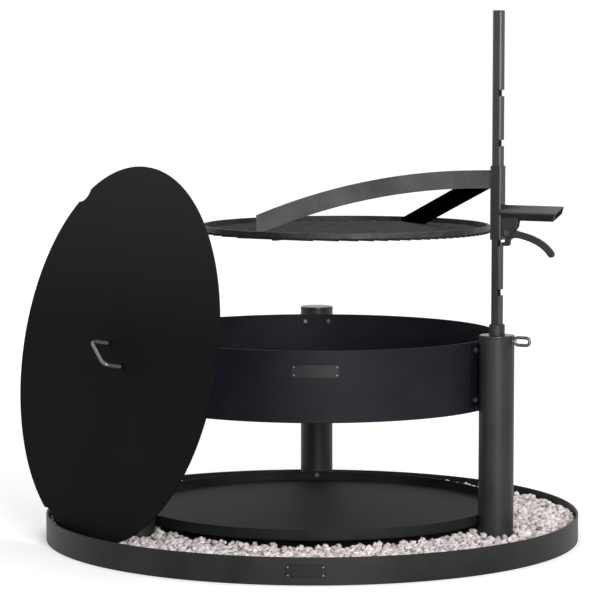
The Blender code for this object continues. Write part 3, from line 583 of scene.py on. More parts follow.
def spun(profile: Sequence[Point], steps: int, centre: Sequence[float] = (0.0, 0.0, 0.0),
         closed: bool = True) -> Shape:
    """Spins a section in the XZ plane a full turn about a vertical axis.

    Args:
        profile: Radius and height of each corner.
        steps: Number of steps in the turn.
        centre: Where the axis stands, and the height of the section's zero.
        closed: Whether the last corner joins the first.

    Returns:
        The turned shape.
    """
    work = bmesh.new()
    verts = [work.verts.new((radius, 0.0, height)) for radius, height in profile]
    edges = [work.edges.new(pair) for pair in zip(verts, verts[1:])]
    if closed:
        edges.append(work.edges.new((verts[-1], verts[0])))
    bmesh.ops.spin(work, geom=verts + edges, cent=(0.0, 0.0, 0.0), axis=(0.0, 0.0, 1.0),
                   angle=math.tau, steps=steps, use_merge=True)
    bmesh.ops.remove_doubles(work, verts=work.verts, dist=MERGE_DISTANCE)
    bmesh.ops.translate(work, verts=work.verts, vec=centre)
    return work


def swept_rod(name: str, points: Sequence[Sequence[float]], radius: float, place: Matrix,
              cyclic: bool = False) -> Shape:
    """Sweeps a round rod along points.

    Args:
        name: Name of the passing curve.
        points: Centre line in the rod's own space.
        radius: Radius of the rod.
        place: Placement of the rod's own space.
        cyclic: Whether the line is closed.

    Returns:
        The rod in the row frame, with closed ends where it has ends.
    """
    curve = bpy.data.curves.new(name, "CURVE")
    curve.dimensions = "3D"
    curve.bevel_depth = radius
    curve.bevel_resolution = 6
    curve.use_fill_caps = True
    spline = curve.splines.new("POLY")
    spline.points.add(len(points) - 1)
    for point, at in zip(spline.points, points):
        point.co = (*at, 1.0)
    spline.use_cyclic_u = cyclic
    return curve_to_shape(curve, place)


def flat_plate(name: str, outlines: Sequence[Sequence[Point]], thickness: float, place: Matrix) -> Shape:
    """Cuts a plate from closed outlines; inner outlines are holes.

    Args:
        name: Name of the passing curve.
        outlines: Corners of each outline in the plate's own plane.
        thickness: Sheet thickness, centred on that plane.
        place: Placement of the plate's own space.

    Returns:
        The plate in the row frame.
    """
    curve = bpy.data.curves.new(name, "CURVE")
    curve.dimensions = "2D"
    curve.fill_mode = "BOTH"
    curve.extrude = thickness / 2.0
    for outline in outlines:
        spline = curve.splines.new("POLY")
        spline.points.add(len(outline) - 1)
        for point, (x, y) in zip(spline.points, outline):
            point.co = (x, y, 0.0, 1.0)
        spline.use_cyclic_u = True
    return curve_to_shape(curve, place)


def curve_to_shape(curve: bpy.types.Curve, place: Matrix) -> Shape:
    """Makes a curve's solid a shape in the row frame, and removes the curve.

    Args:
        curve: The curve, in the piece's own space.
        place: Placement of that space.

    Returns:
        The shape, with its doubles merged.
    """
    holder = bpy.data.objects.new(curve.name, curve)
    bpy.context.scene.collection.objects.link(holder)
    bpy.context.view_layer.update()
    graph = bpy.context.evaluated_depsgraph_get()
    mesh = bpy.data.meshes.new_from_object(holder.evaluated_get(graph))
    work = bmesh.new()
    work.from_mesh(mesh)
    bmesh.ops.remove_doubles(work, verts=work.verts, dist=MERGE_DISTANCE)
    bmesh.ops.transform(work, verts=work.verts, matrix=place)
    bpy.data.objects.remove(holder, do_unlink=True)
    bpy.data.curves.remove(curve)
    bpy.data.meshes.remove(mesh)
    return work


def arc(radius: float, start: float, end: float, steps: int, centre: Point = (0.0, 0.0)) -> list[Point]:
    """Points on an arc between two angles in degrees, both ends included."""
    angles = [math.radians(start + (end - start) * step / steps) for step in range(steps + 1)]
    return [(centre[0] + radius * math.cos(a), centre[1] + radius * math.sin(a)) for a in angles]


def line_of(start: Vector, end: Vector, step: float) -> list[Vector]:
    """Points along a straight line, at most a step apart."""
    count = max(1, math.ceil((end - start).length / step))
    return [start.lerp(end, index / count) for index in range(count + 1)]


def lines_round(corners: Sequence[Vector], step: float) -> list[list[Vector]]:
    """Lines round corners given in the mast's space, as points in the row frame."""
    pairs = zip(corners, [*corners[1:], corners[0]])
    return [[MAST @ at for at in line_of(start, end, step)] for start, end in pairs]


def weld_bead(name: str, paths: Iterable[Sequence[Vector]], radius: float) -> Piece:
    """Lays overlapping drops along paths, as a welder's torch does.

    Args:
        name: The bead's name.
        paths: Lines of points in the row frame, up to one and a half radii apart.
        radius: Radius of a drop.

    Returns:
        One piece that holds every bead.
    """
    wobble = random.Random(name)
    drops = []
    for at in (point for path in paths for point in path):
        drop = bmesh.new()
        size = radius * wobble.uniform(*DROP_SIZES)
        bmesh.ops.create_icosphere(drop, subdivisions=1, radius=size, matrix=Matrix.Translation(at))
        drops.append(drop)
    return link_piece(name, gather(drops), Shading.ROUND)


def smooth_group() -> Tree:
    """Geometry nodes that drop stored normals and smooth every face, without touching the mesh.

    Returns:
        The node group, made once and shared by every CAD node.
    """
    name = "smooth_faces"
    if name in bpy.data.node_groups:
        return bpy.data.node_groups[name]
    tree = bpy.data.node_groups.new(name, "GeometryNodeTree")
    for way in ("INPUT", "OUTPUT"):
        tree.interface.new_socket("Geometry", in_out=way, socket_type="NodeSocketGeometry")
    given = add_node(tree, "NodeGroupInput").outputs["Geometry"]
    bare = add_node(tree, "GeometryNodeRemoveAttribute", {"Name": "custom_normal"}, {"Geometry": given})
    faces = add_node(tree, "GeometryNodeSetShadeSmooth", {"domain": "FACE"},
                     {"Geometry": bare.outputs["Geometry"]})
    edges = add_node(tree, "GeometryNodeSetShadeSmooth", {"domain": "EDGE"},
                     {"Geometry": faces.outputs["Geometry"]})
    add_node(tree, "NodeGroupOutput", {}, {"Geometry": edges.outputs["Geometry"]})
    return tree


def dress_node(name: str, material: Material, edge: float = 0.0004) -> None:
    """Finishes a CAD node: welded corners, smooth round faces and small rounded edges.

    Args:
        name: The node's name.
        material: Its finish.
        edge: Width of its rounded edges.
    """
    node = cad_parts[name]
    node.data.materials.clear()
    node.data.materials.append(material)
    node.modifiers.new("smooth_faces", "NODES").node_group = smooth_group()
    node.modifiers.new("weld", "WELD").merge_threshold = NODE_MERGE_DISTANCE
    round_edges(node, edge)
    # The wide flats stay flat and the rolled corners take the highlight
    node.modifiers.new("flat_faces", "WEIGHTED_NORMAL").weight = 75
    LOG.info("%s dressed", name)


@dataclass
class BlankPlate:
    """Pressed plate with clipped corners and a raised border, riveted to a curved wall."""

    name: str
    width: float
    wall_radius: float
    azimuth: float
    level: float
    centre: Point = (0.0, 0.0)
    height: float = 0.0265
    thickness: float = 0.0012
    corner: float = 0.0035
    border: float = 0.0016
    press: float = 0.0004
    strips: int = 24
    rivet_inset: float = 0.0048
    rivet_radius: float = 0.0021
    rivet_seat: float = 0.7
    rivet_dome: float = 0.55

    def on_wall(self, x: float, y: float, out: float) -> Vector:
        """Finds a place on the curved wall.

        Args:
            x: Distance round the wall from the plate's middle.
            y: Distance up from the plate's middle.
            out: Distance out from the wall.

        Returns:
            The place in the row frame.
        """
        radius = self.wall_radius + out
        angle = math.radians(self.azimuth) + x / self.wall_radius
        return Vector((self.centre[0] + radius * math.cos(angle),
                       self.centre[1] + radius * math.sin(angle), self.level + y))

    def build_plate(self) -> Piece:
        """Presses the plate and bends it round the wall.

        Returns:
            The plate.
        """
        work = bmesh.new()
        bmesh.ops.create_cube(work, size=1.0)
        bmesh.ops.scale(work, verts=work.verts, vec=(self.width, self.height, self.thickness))
        bmesh.ops.translate(work, verts=work.verts, vec=(0.0, 0.0, self.thickness / 2))
        upright = [e for e in work.edges if abs((e.verts[0].co - e.verts[1].co).z) > self.thickness / 2]
        bmesh.ops.bevel(work, geom=upright, offset=self.corner, offset_type="OFFSET", segments=1,
                        profile=0.5, affect="EDGES", clamp_overlap=True, material=-1)
        face = max(work.faces, key=lambda f: f.calc_center_median().z)
        bmesh.ops.inset_region(work, faces=[face], thickness=self.border, depth=0.0)
        # The middle is pressed in behind the border
        face = max((f for f in work.faces if f.normal.z > 0.9), key=lambda f: f.calc_area())
        bmesh.ops.inset_region(work, faces=[face], thickness=self.press, depth=-self.press)
        for index in range(1, self.strips):
            x = self.width * (index / self.strips - 0.5)
            geom = work.verts[:] + work.edges[:] + work.faces[:]
            bmesh.ops.bisect_plane(work, geom=geom, plane_co=(x, 0.0, 0.0), plane_no=(1.0, 0.0, 0.0))
        for vert in work.verts:
            vert.co = self.on_wall(*vert.co)
        return new_piece(self.name, work)

    def build_rivets(self) -> Piece:
        """Sets a domed rivet in each corner.

        Returns:
            The four rivets as one piece.
        """
        work = bmesh.new()
        dome = Matrix.Diagonal((self.rivet_dome, 1.0, 1.0, 1.0))
        for across in (-1.0, 1.0):
            for up in (-1.0, 1.0):
                x = across * (self.width / 2 - self.rivet_inset)
                y = up * (self.height / 2 - self.rivet_inset)
                at = self.on_wall(x, y, self.thickness * self.rivet_seat)
                turn = Matrix.Rotation(math.atan2(at.y - self.centre[1], at.x - self.centre[0]), 4, "Z")
                bmesh.ops.create_uvsphere(work, u_segments=16, v_segments=10, radius=self.rivet_radius,
                                          matrix=Matrix.Translation(at) @ turn @ dome)
        return new_piece(self.name + "_rivets", work, Shading.ROUND)

    def build(self, materials: dict[str, Material]) -> None:
        """Builds and dresses the plate and its rivets."""
        finish_piece(self.build_plate(), materials["plate"], "root")
        finish_piece(self.build_rivets(), materials["rivet"], "root")


@dataclass
class StoneRing:
    """Rolled steel ring filled with crushed stone."""

    centre: tuple[float, float, float] = (-0.010, 0.0, 0.0)
    radius: float = 0.585
    wall: float = 0.004
    height: float = 0.057
    slab_top: float = 0.030
    slab_gap: float = 0.0006
    inner_radius: float = 0.380
    lower_pitch: float = 0.0175
    upper_pitch: float = 0.0165
    lower_level: float = 0.0335
    upper_level: float = 0.0405
    # Tone lift of the upper layer; the lower layer stays darker as painted shade
    depth_shade_lift: float = 0.25
    row_step: float = 0.866
    scatter: float = 0.3
    level_scatter: float = 0.0035
    stone_radius: Pair = (0.0070, 0.0112)
    stone_tilt: float = 0.6
    stone_depth: Pair = (0.65, 0.95)
    stone_height: Pair = (0.55, 0.85)
    corner_reach: Pair = (0.74, 1.18)
    tone: float = 0.55
    tone_spread: float = 0.25
    # Shares of a stone's radius by which it keeps off its neighbours
    wall_share: float = 0.8
    post_share: float = 0.7
    lid_share: float = 0.9
    lid_gap: float = 0.0015
    seed: int = 41

    def build_band(self) -> Piece:
        """Rolls the flat bar into its ring.

        Returns:
            The ring.
        """
        inner = self.radius - self.wall
        profile = [(self.radius, 0.0), (self.radius, self.height), (inner, self.height), (inner, 0.0)]
        return new_piece("ring_band", spun(profile, 256, self.centre))

    def build_slab(self) -> Piece:
        """Packs the unseen depth of the stones into one low slab.

        Returns:
            The slab.
        """
        outer = self.radius - self.wall - self.slab_gap
        profile = [(0.0, 0.0), (outer, 0.0), (outer, self.slab_top), (0.0, self.slab_top)]
        return new_piece("gravel_depth", spun(profile, 128, self.centre, closed=False))

    def clear_of_neighbours(self, at: Vector, size: float, lid: Matrix, lid_radius: float) -> bool:
        """Tells whether a stone stays off the ring, the posts and the lid.

        Args:
            at: Middle of the stone.
            size: Radius of the ball that it is broken from.
            lid: Placement of the lid.
            lid_radius: Radius of the lid.

        Returns:
            True where it is far enough from all of them.
        """
        if (at - Vector(self.centre)).to_2d().length > self.radius - self.wall - size * self.wall_share:
            return False
        for azimuth in POST_AZIMUTHS.values():
            if (at - polar(POST_CIRCLE, azimuth)).to_2d().length < POST_RADIUS + size * self.post_share:
                return False
        local = lid.inverted() @ at
        off_plane = abs(local.z) >= size * self.lid_share + self.lid_gap
        return off_plane or local.to_2d().length >= lid_radius + size

    def stone_places(self, pitch: float, level: float, chance: random.Random) -> list[Vector]:
        """Spreads places loosely in staggered rows over the part of the ring that shows.

        Args:
            pitch: Distance between places in a row.
            level: Mean height of the places.
            chance: Source of the scatter.

        Returns:
            The places outside the inner radius.
        """
        places = []
        rows = int(2 * self.radius / (pitch * self.row_step)) + 1
        for row in range(rows):
            y = -self.radius + row * pitch * self.row_step
            shift = pitch / 2 if row % 2 else 0.0
            for column in range(int(2 * self.radius / pitch) + 1):
                x = self.centre[0] - self.radius + shift + column * pitch
                at = Vector((x, y, level))
                at.x += chance.uniform(-self.scatter, self.scatter) * pitch
                at.y += chance.uniform(-self.scatter, self.scatter) * pitch
                at.z += chance.uniform(-self.level_scatter, self.level_scatter)
                if at.to_2d().length > self.inner_radius:
                    places.append(at)
        return places

    def broken_stone(self, at: Vector, size: float, shade: float, chance: random.Random) -> Shape:
        """Breaks one stone from a ball and gives it its tone.

        Args:
            at: Middle of the stone.
            size: Radius of the ball.
            shade: Tone from dark, zero, to pale, one.
            chance: Source of its turn and its broken form.

        Returns:
            The stone.
        """
        work = bmesh.new()
        tone = work.verts.layers.float.new(STONE_TONE)
        turn = Matrix.Rotation(chance.uniform(0.0, math.tau), 4, "Z")
        turn = turn @ Matrix.Rotation(chance.uniform(-self.stone_tilt, self.stone_tilt), 4, "X")
        depth, height = chance.uniform(*self.stone_depth), chance.uniform(*self.stone_height)
        stretch = Matrix.Diagonal((1.0, depth, height, 1.0))
        made = bmesh.ops.create_icosphere(work, subdivisions=1, radius=size,
                                          matrix=Matrix.Translation(at) @ turn @ stretch)
        for vert in made["verts"]:
            vert.co = at + (vert.co - at) * chance.uniform(*self.corner_reach)
            vert[tone] = shade
        return work

    def build_stones(self, lid: Matrix, lid_radius: float) -> Piece:
        """Heaps two layers of broken stones, the upper one paler; the lower one's darker tone is painted
        shade in the gaps.

        Args:
            lid: Placement of the lid, which the stones stay off.
            lid_radius: Radius of the lid.

        Returns:
            All the stones as one piece.
        """
        chance = random.Random(self.seed)
        stones = []
        layers = ((self.lower_pitch, self.lower_level, 0.0),
                  (self.upper_pitch, self.upper_level, self.depth_shade_lift))
        for pitch, level, lift in layers:
            for at in self.stone_places(pitch, level, chance):
                size = chance.uniform(*self.stone_radius)
                if not self.clear_of_neighbours(at, size, lid, lid_radius):
                    continue
                shade = min(1.0, max(0.0, chance.gauss(self.tone + lift, self.tone_spread)))
                stones.append(self.broken_stone(at, size, shade, chance))
        return link_piece("gravel_stones", gather(stones), Shading.FACETED)

    def build(self, lid: Matrix, lid_radius: float, materials: dict[str, Material]) -> None:
        """Builds and dresses the ring, its stones and its blank plate.

        Args:
            lid: Placement of the lid, which the stones stay off.
            lid_radius: Radius of the lid.
            materials: The finishes by name.
        """
        # The ring takes a darker copy of the posts' coat, painted shade
        finish_piece(self.build_band(), materials["ring"], "root", ["base_ring"], edge=0.0009)
        # The slab under the stones is dark, painted shade for their gaps
        finish_piece(self.build_slab(), materials["gap_shade"], "root")
        stones = self.build_stones(lid, lid_radius)
        finish_piece(stones, materials["stone"], "root", ["gravel_bed"])
        plate = BlankPlate("ring_plate", width=0.081, wall_radius=self.radius, azimuth=-91.2, level=0.0285,
                           centre=self.centre[:2])
        plate.build(materials)


@dataclass
class FireBowl:
    """Rolled bowl with a dished floor, bolted to its posts by curved brackets."""

    radius: float = 0.398
    wall: float = 0.004
    bottom: float = 0.302
    rim: float = 0.452
    stations: tuple[str, ...] = ("back", "front_left", "front_right")
    corners: tuple[str, ...] = ("a_high", "a_low", "b_high", "b_low")

    def build_shell(self) -> Piece:
        """Rolls the bowl's wall.

        Returns:
            The wall.
        """
        inner = self.radius - self.wall
        profile = [(self.radius, self.bottom), (self.radius, self.rim), (inner, self.rim),
                   (inner, self.bottom)]
        return new_piece("bowl_shell", spun(profile, 256))

    def build(self, materials: dict[str, Material]) -> None:
        """Builds and dresses the shell, its floor, brackets, fasteners and blank plate.

        Args:
            materials: The finishes by name.
        """
        shell = self.build_shell()
        finish_piece(shell, materials["bowl"], "root", ["bowl_wall"], edge=0.0009)
        dress_node("bowl_floor", materials["bowl"])
        for station in self.stations:
            # The brackets take the bowl's paint with painted shade
            dress_node("bowl_bracket_" + station, materials["bracket"])
            for corner in self.corners:
                dress_node(f"bracket_bolt_{station}_{corner}", materials["fastener"], edge=0.0003)
                dress_node(f"bracket_nut_{station}_{corner}", materials["fastener"])
        plate = BlankPlate("bowl_plate", width=0.099, wall_radius=self.radius, azimuth=-90.4, level=0.4095)
        plate.build(materials)


@dataclass
class PostsAndShelf:
    """Three round posts with welded caps, and the log tray bolted between them."""

    cap_thickness: float = 0.004
    tray_radius: float = 0.4023
    tray_bottom: float = 0.057
    tray_rim: float = 0.080
    sheet: float = 0.003
    outer_bend: float = 0.005
    inner_bend: float = 0.003
    bead: float = 0.0013
    bead_step: float = 0.0014
    cap_seam_inset: float = 0.0004
    bracket_seam_radius: float = 0.4033
    bracket_seam_angle: float = 0.95
    bracket_seam_span: Pair = (0.318, 0.442)

    def build_tray(self) -> Piece:
        """Spins the log tray with its turned-up rim.

        Returns:
            The tray.
        """
        outer = self.tray_radius
        inner = outer - self.sheet
        floor = self.tray_bottom + self.sheet
        lower = arc(self.outer_bend, -90.0, 0.0, 5, (outer - self.outer_bend,
                                                     self.tray_bottom + self.outer_bend))
        upper = arc(self.inner_bend, 0.0, -90.0, 5, (inner - self.inner_bend, floor + self.inner_bend))
        profile = [(0.0, self.tray_bottom), *lower, (outer, self.tray_rim), (inner, self.tray_rim),
                   *upper, (0.0, floor)]
        return new_piece("log_tray", spun(profile, 256, closed=False))

    def build_beads(self) -> Piece:
        """Welds the caps to the posts, and the brackets along both their sides.

        Returns:
            All the beads as one piece.
        """
        paths = []
        seam = POST_TOP - self.cap_thickness
        low, high = self.bracket_seam_span
        for azimuth in POST_AZIMUTHS.values():
            ring = arc(POST_RADIUS - self.cap_seam_inset, 0.0, 357.0, 119, polar(POST_CIRCLE, azimuth)[:2])
            paths.append([Vector((x, y, seam)) for x, y in ring])
            for side in (-1.0, 1.0):
                beside = azimuth + side * self.bracket_seam_angle
                paths.append(line_of(polar(self.bracket_seam_radius, beside, low),
                                     polar(self.bracket_seam_radius, beside, high), self.bead_step))
        return weld_bead("post_welds", paths, self.bead)

    def build(self, materials: dict[str, Material]) -> None:
        """Builds and dresses the posts, caps, welds and tray.

        Args:
            materials: The finishes by name.
        """
        for station in POST_AZIMUTHS:
            dress_node("post_" + station, materials["satin"])
            dress_node("post_cap_" + station, materials["grip"], edge=0.0010)
            dress_node("shelf_bolt_" + station, materials["fastener"], edge=0.0003)
        dress_node("socket_floor", materials["satin"])
        finish_piece(self.build_tray(), materials["tray"], "root", ["log_shelf"], edge=0.0007)
        finish_piece(self.build_beads(), materials["satin"], "root")


@dataclass
class Mast:
    """Slotted pole on its round spigot, with a plug in its top."""

    foot_weld: float = 0.4893
    pole_half: float = 0.010
    bead: float = 0.0016
    bead_step: float = 0.0014

    def build_bead(self) -> Piece:
        """Welds the pole's foot to its spigot along all four sides.

        Returns:
            The bead.
        """
        half = self.pole_half
        signs = ((1, 1), (-1, 1), (-1, -1), (1, -1))
        corners = [Vector((x * half, y * half, self.foot_weld)) for x, y in signs]
        return weld_bead("spigot_weld", lines_round(corners, self.bead_step), self.bead)

    def build(self, materials: dict[str, Material]) -> None:
        """Dresses the pole and welds it to its spigot.

        Args:
            materials: The finishes by name.
        """
        dress_node("pole", materials["pole"], edge=0.0005)
        dress_node("pole_spigot", materials["satin"])
        dress_node("pole_cap", materials["plug"], edge=0.0005)
        finish_piece(self.build_bead(), materials["satin"], "mast")


@dataclass
class SwingGrate:
    """Sleeve, two flat arms, hoop and rods that slide and turn on the mast."""

    reach: float = 0.368
    hoop_radius: float = 0.3135
    hoop_width: float = 0.006
    hoop_top: float = 0.690
    hoop_height: float = 0.010
    weld_sink: float = 0.0012
    rod_radius: float = 0.003
    rod_pitch: float = 0.020
    rod_gap: float = 0.0003
    rod_overhang: float = 0.0006
    strip_width: float = 0.012
    strip_thickness: float = 0.0025
    strip_sink: float = 0.0006
    arm_seam: Point = (-0.0128, 0.0110)
    arm_seam_lean: Point = (-0.0065, 0.0042)
    arm_span: Pair = (0.779, 0.814)
    grip_seam: tuple[float, float, float] = (0.0128, 0.0, 0.7268)
    grip_half: float = 0.0166
    bead: float = 0.0014
    bead_step: float = 0.0013
    # The back arm takes the painted shade finish
    arm_coats: dict[Side, str] = field(default_factory=lambda: {Side.FRONT: "arm", Side.BACK: "shaded_arm"})

    def build_hoop(self) -> Piece:
        """Rolls the hoop from bar on edge, with the rods sunk into its underside by their welds.

        Returns:
            The hoop.
        """
        inner = self.hoop_radius - self.hoop_width
        low = self.hoop_top - self.hoop_height - self.weld_sink
        profile = [(self.hoop_radius, low), (self.hoop_radius, self.hoop_top), (inner, self.hoop_top),
                   (inner, low)]
        work = spun(profile, 224)
        place = MAST @ Matrix.Translation((-self.reach, 0.0, 0.0))
        bmesh.ops.transform(work, verts=work.verts, matrix=place)
        return new_piece("hoop_band", work)

    def build_rods(self) -> Piece:
        """Cuts round rods to the hoop's chords and lays the strip below them.

        Returns:
            The rods and the strip as one piece.
        """
        work = bmesh.new()
        level = self.hoop_top - self.hoop_height - self.rod_gap - self.rod_radius
        count = int(self.hoop_radius / self.rod_pitch)
        lie = Matrix.Rotation(math.radians(90.0), 4, "Y")
        for index in range(-count, count + 1):
            offset = index * self.rod_pitch
            half = math.sqrt(self.hoop_radius ** 2 - offset ** 2) + self.rod_overhang
            place = MAST @ Matrix.Translation((-self.reach, offset, level)) @ lie
            bmesh.ops.create_cone(work, cap_ends=True, segments=14, radius1=self.rod_radius,
                                  radius2=self.rod_radius, depth=2 * half, matrix=place)
        length = 2 * count * self.rod_pitch + 2 * self.rod_radius
        place = MAST @ Matrix.Translation((-self.reach, 0.0, level - self.rod_radius - self.strip_sink))
        size = Matrix.Diagonal((self.strip_width, length, self.strip_thickness, 1.0))
        bmesh.ops.create_cube(work, size=1.0, matrix=place @ size)
        return new_piece("grill_rods", work)

    def build_beads(self) -> Piece:
        """Welds the arms and the grip to the sleeve.

        Returns:
            All the beads as one piece.
        """
        paths = []
        low, high = self.arm_span
        for side in Side:
            foot = Vector((self.arm_seam[0], side.value * self.arm_seam[1], low))
            # The bar's end is mitred, so the bead leans outwards at its top
            top = foot + Vector((self.arm_seam_lean[0], side.value * self.arm_seam_lean[1], high - low))
            paths.append([MAST @ at for at in line_of(foot, top, self.bead_step)])
        # The grip's square tube stands on its corner, so the bead runs from tip to tip
        tips = [Vector(self.grip_seam) + Vector((0.0, y, z)) for y, z in arc(self.grip_half, 0.0, 270.0, 3)]
        return weld_bead("sleeve_welds", paths + lines_round(tips, self.bead_step), self.bead)

    def build(self, materials: dict[str, Material]) -> None:
        """Builds and dresses the sliding carriage.

        Args:
            materials: The finishes by name.
        """
        body, slot = "grate_carriage", "dark_grate_steel"
        dress_node("sleeve", materials["sleeve"], edge=0.0005)
        for side in Side:
            label = side.name.lower()
            dress_node("arm_" + label, materials[self.arm_coats[side]], edge=0.0007)
            dress_node("latch_cheek_" + label, materials["satin"])
        dress_node("grip_bar", materials["grip"])
        dress_node("pivot_bolt", materials["fastener"])
        dress_node("pivot_nut", materials["fastener"])
        finish_piece(self.build_hoop(), materials["hoop"], body, ["grate_hoop"], edge=0.0009)
        finish_piece(self.build_rods(), materials["rod"], body, ["grate_rods"], edge=0.0004)
        finish_piece(self.build_beads(), materials["satin"], body)
        dress_node("latch_lever", materials["satin"], edge=0.0005)


@dataclass
class ClampScrew:
    """Threaded rod with a bent loop handle, in the top of the front right post."""

    height: float = 0.456
    tip: float = 0.0173
    loop_near: float = 0.0420
    loop_far: float = 0.0768
    loop_half_height: float = 0.0080
    loop_radius: float = 0.0035
    shank_radius: float = 0.0040
    pitch: float = 0.00125
    thread_depth_share: float = 0.55

    def build_loop(self, place: Matrix) -> Shape:
        """Bends the loop handle from round rod.

        Args:
            place: Placement of the screw, which lies along the X axis.

        Returns:
            The loop.
        """
        bend = self.loop_half_height
        loop = [(x, 0.0, y) for x, y in arc(bend, -90.0, 90.0, 20, (self.loop_far - bend, 0.0))]
        loop += [(x, 0.0, y) for x, y in arc(bend, 90.0, 270.0, 20, (self.loop_near + bend, 0.0))]
        return swept_rod("clamp_loop", loop, self.loop_radius, place, cyclic=True)

    def build_shank(self, place: Matrix) -> Shape:
        """Turns the shank with the ridges of its thread.

        Args:
            place: Placement of the screw, which lies along the X axis.

        Returns:
            The shank.
        """
        root = self.shank_radius - self.pitch * self.thread_depth_share
        profile: list[Point] = [(0.0, self.tip), (root, self.tip)]
        along = self.tip + self.pitch / 2
        while along < self.loop_near - self.pitch:
            profile += [(self.shank_radius, along), (root, along + self.pitch / 2)]
            along += self.pitch
        profile += [(root, self.loop_near), (0.0, self.loop_near)]
        screw = spun(profile, 24, closed=False)
        lay = Matrix.Rotation(math.radians(90.0), 4, "Y")
        bmesh.ops.transform(screw, verts=screw.verts, matrix=place @ lay)
        return screw

    def build(self, materials: dict[str, Material]) -> None:
        """Builds and dresses the screw, and dresses its nut.

        Args:
            materials: The finishes by name.
        """
        place = MAST @ Matrix.Translation((0.0, 0.0, self.height))
        piece = new_piece("clamp_loop", gather([self.build_loop(place), self.build_shank(place)]))
        finish_piece(piece, materials["zinc"], "clamp", ["clamp_screw"])
        dress_node("clamp_nut", materials["fastener"])


@dataclass
class Lid:
    """Round lid with three rim notches and a bent rod handle, leaning on the front left post."""

    radius: float = 0.403
    thickness: float = 0.003
    azimuth: float = 213.9
    lean: float = 10.4
    side_shift: float = -0.011
    drop: float = -0.0427
    stand_off: float = 0.0005
    notch_radius: float = 0.046
    notch_angles: tuple[float, ...] = (4.5, 124.5, 244.5)
    handle_angle: float = -33.0
    handle_spread: float = 0.081
    handle_height: float = 0.043
    handle_rod: float = 0.008
    handle_bend: float = 0.014
    handle_tail: float = 0.0115
    leg_gap: float = 0.0004
    bead_gap: float = 0.0006
    bead: float = 0.0013

    def place(self) -> Matrix:
        """Works out how the lid leans.

        Returns:
            Its placement: local Z is its outer normal, and local Y points up its face.
        """
        azimuth = math.radians(self.azimuth)
        lean = math.radians(self.lean)
        outward = Vector((math.cos(azimuth), math.sin(azimuth), 0.0))
        side = Vector((-math.sin(azimuth), math.cos(azimuth), 0.0))
        normal = outward * math.cos(lean) + Vector((0.0, 0.0, math.sin(lean)))
        face_up = Vector((0.0, 0.0, math.cos(lean))) - outward * math.sin(lean)
        edge = polar(POST_CIRCLE, POST_AZIMUTHS["front_left"], POST_TOP) + outward * POST_RADIUS
        centre = edge + normal * (self.stand_off + self.thickness / 2)
        centre += side * self.side_shift + face_up * self.drop
        turn = Matrix((side, face_up, side.cross(face_up))).transposed().to_4x4()
        return Matrix.Translation(centre) @ turn

    def outline(self) -> list[Point]:
        """Draws the rim with a notch for each post.

        Returns:
            The rim's corners in the lid's own plane.
        """
        # The angle at the lid's middle between a notch's middle and its end on the rim
        cosine = self.radius ** 2 + POST_CIRCLE ** 2 - self.notch_radius ** 2
        cosine /= 2 * self.radius * POST_CIRCLE
        half = math.degrees(math.acos(cosine))
        corner = Vector((self.radius * cosine - POST_CIRCLE, self.radius * math.sin(math.radians(half))))
        opening = math.degrees(math.atan2(corner.y, corner.x))
        rim: list[Point] = []
        following = (*self.notch_angles[1:], self.notch_angles[0] + 360.0)
        for angle, following_angle in zip(self.notch_angles, following):
            middle = polar(POST_CIRCLE, angle)
            rim += arc(self.notch_radius, angle + 360.0 - opening, angle + opening, 20, (middle.x, middle.y))
            rim += arc(self.radius, angle + half, following_angle - half, 84)[1:-1]
        return rim

    def legs(self) -> list[Point]:
        """Where the handle's two legs pass through the lid."""
        turn = math.radians(self.handle_angle)
        return [(half * math.cos(turn), half * math.sin(turn)) for half in
                (-self.handle_spread / 2, self.handle_spread / 2)]

    def build_disc(self) -> Piece:
        """Cuts the lid from sheet, with its notches and the holes for its handle.

        Returns:
            The disc.
        """
        holes = [arc(self.handle_rod / 2 + self.leg_gap, 0.0, 345.0, 23, leg) for leg in self.legs()]
        return new_piece("lid_disc", flat_plate("lid_disc", [self.outline(), *holes], self.thickness,
                                                self.place()))

    def build_handle(self) -> Piece:
        """Bends the handle from round rod.

        Returns:
            The handle.
        """
        half = self.handle_spread / 2
        inner = half - self.handle_bend
        low = -self.thickness / 2 - self.handle_tail
        centre_height = self.handle_height - self.handle_bend
        path: list[Point] = [(-half, low)]
        path += arc(self.handle_bend, 180.0, 90.0, 14, (-inner, centre_height))
        path += arc(self.handle_bend, 90.0, 0.0, 14, (inner, centre_height))
        path.append((half, low))
        turn = math.radians(self.handle_angle)
        points = [(x * math.cos(turn), x * math.sin(turn), z) for x, z in path]
        return new_piece("lid_bail", swept_rod("lid_bail", points, self.handle_rod / 2, self.place()))

    def build_beads(self) -> Piece:
        """Welds the handle's legs to the lid's face.

        Returns:
            Both beads as one piece.
        """
        paths = []
        for leg in self.legs():
            ring = arc(self.handle_rod / 2 + self.bead_gap, 0.0, 340.0, 17, leg)
            paths.append([self.place() @ Vector((x, y, self.thickness / 2)) for x, y in ring])
        return weld_bead("lid_welds", paths, self.bead)

    def build(self, materials: dict[str, Material]) -> None:
        """Builds and dresses the lid.

        Args:
            materials: The finishes by name.
        """
        finish_piece(self.build_disc(), materials["lid"], "lid", ["lid_plate"], edge=0.0005)
        finish_piece(self.build_handle(), materials["bail"], "lid", ["lid_handle"])
        finish_piece(self.build_beads(), materials["lid"], "lid")


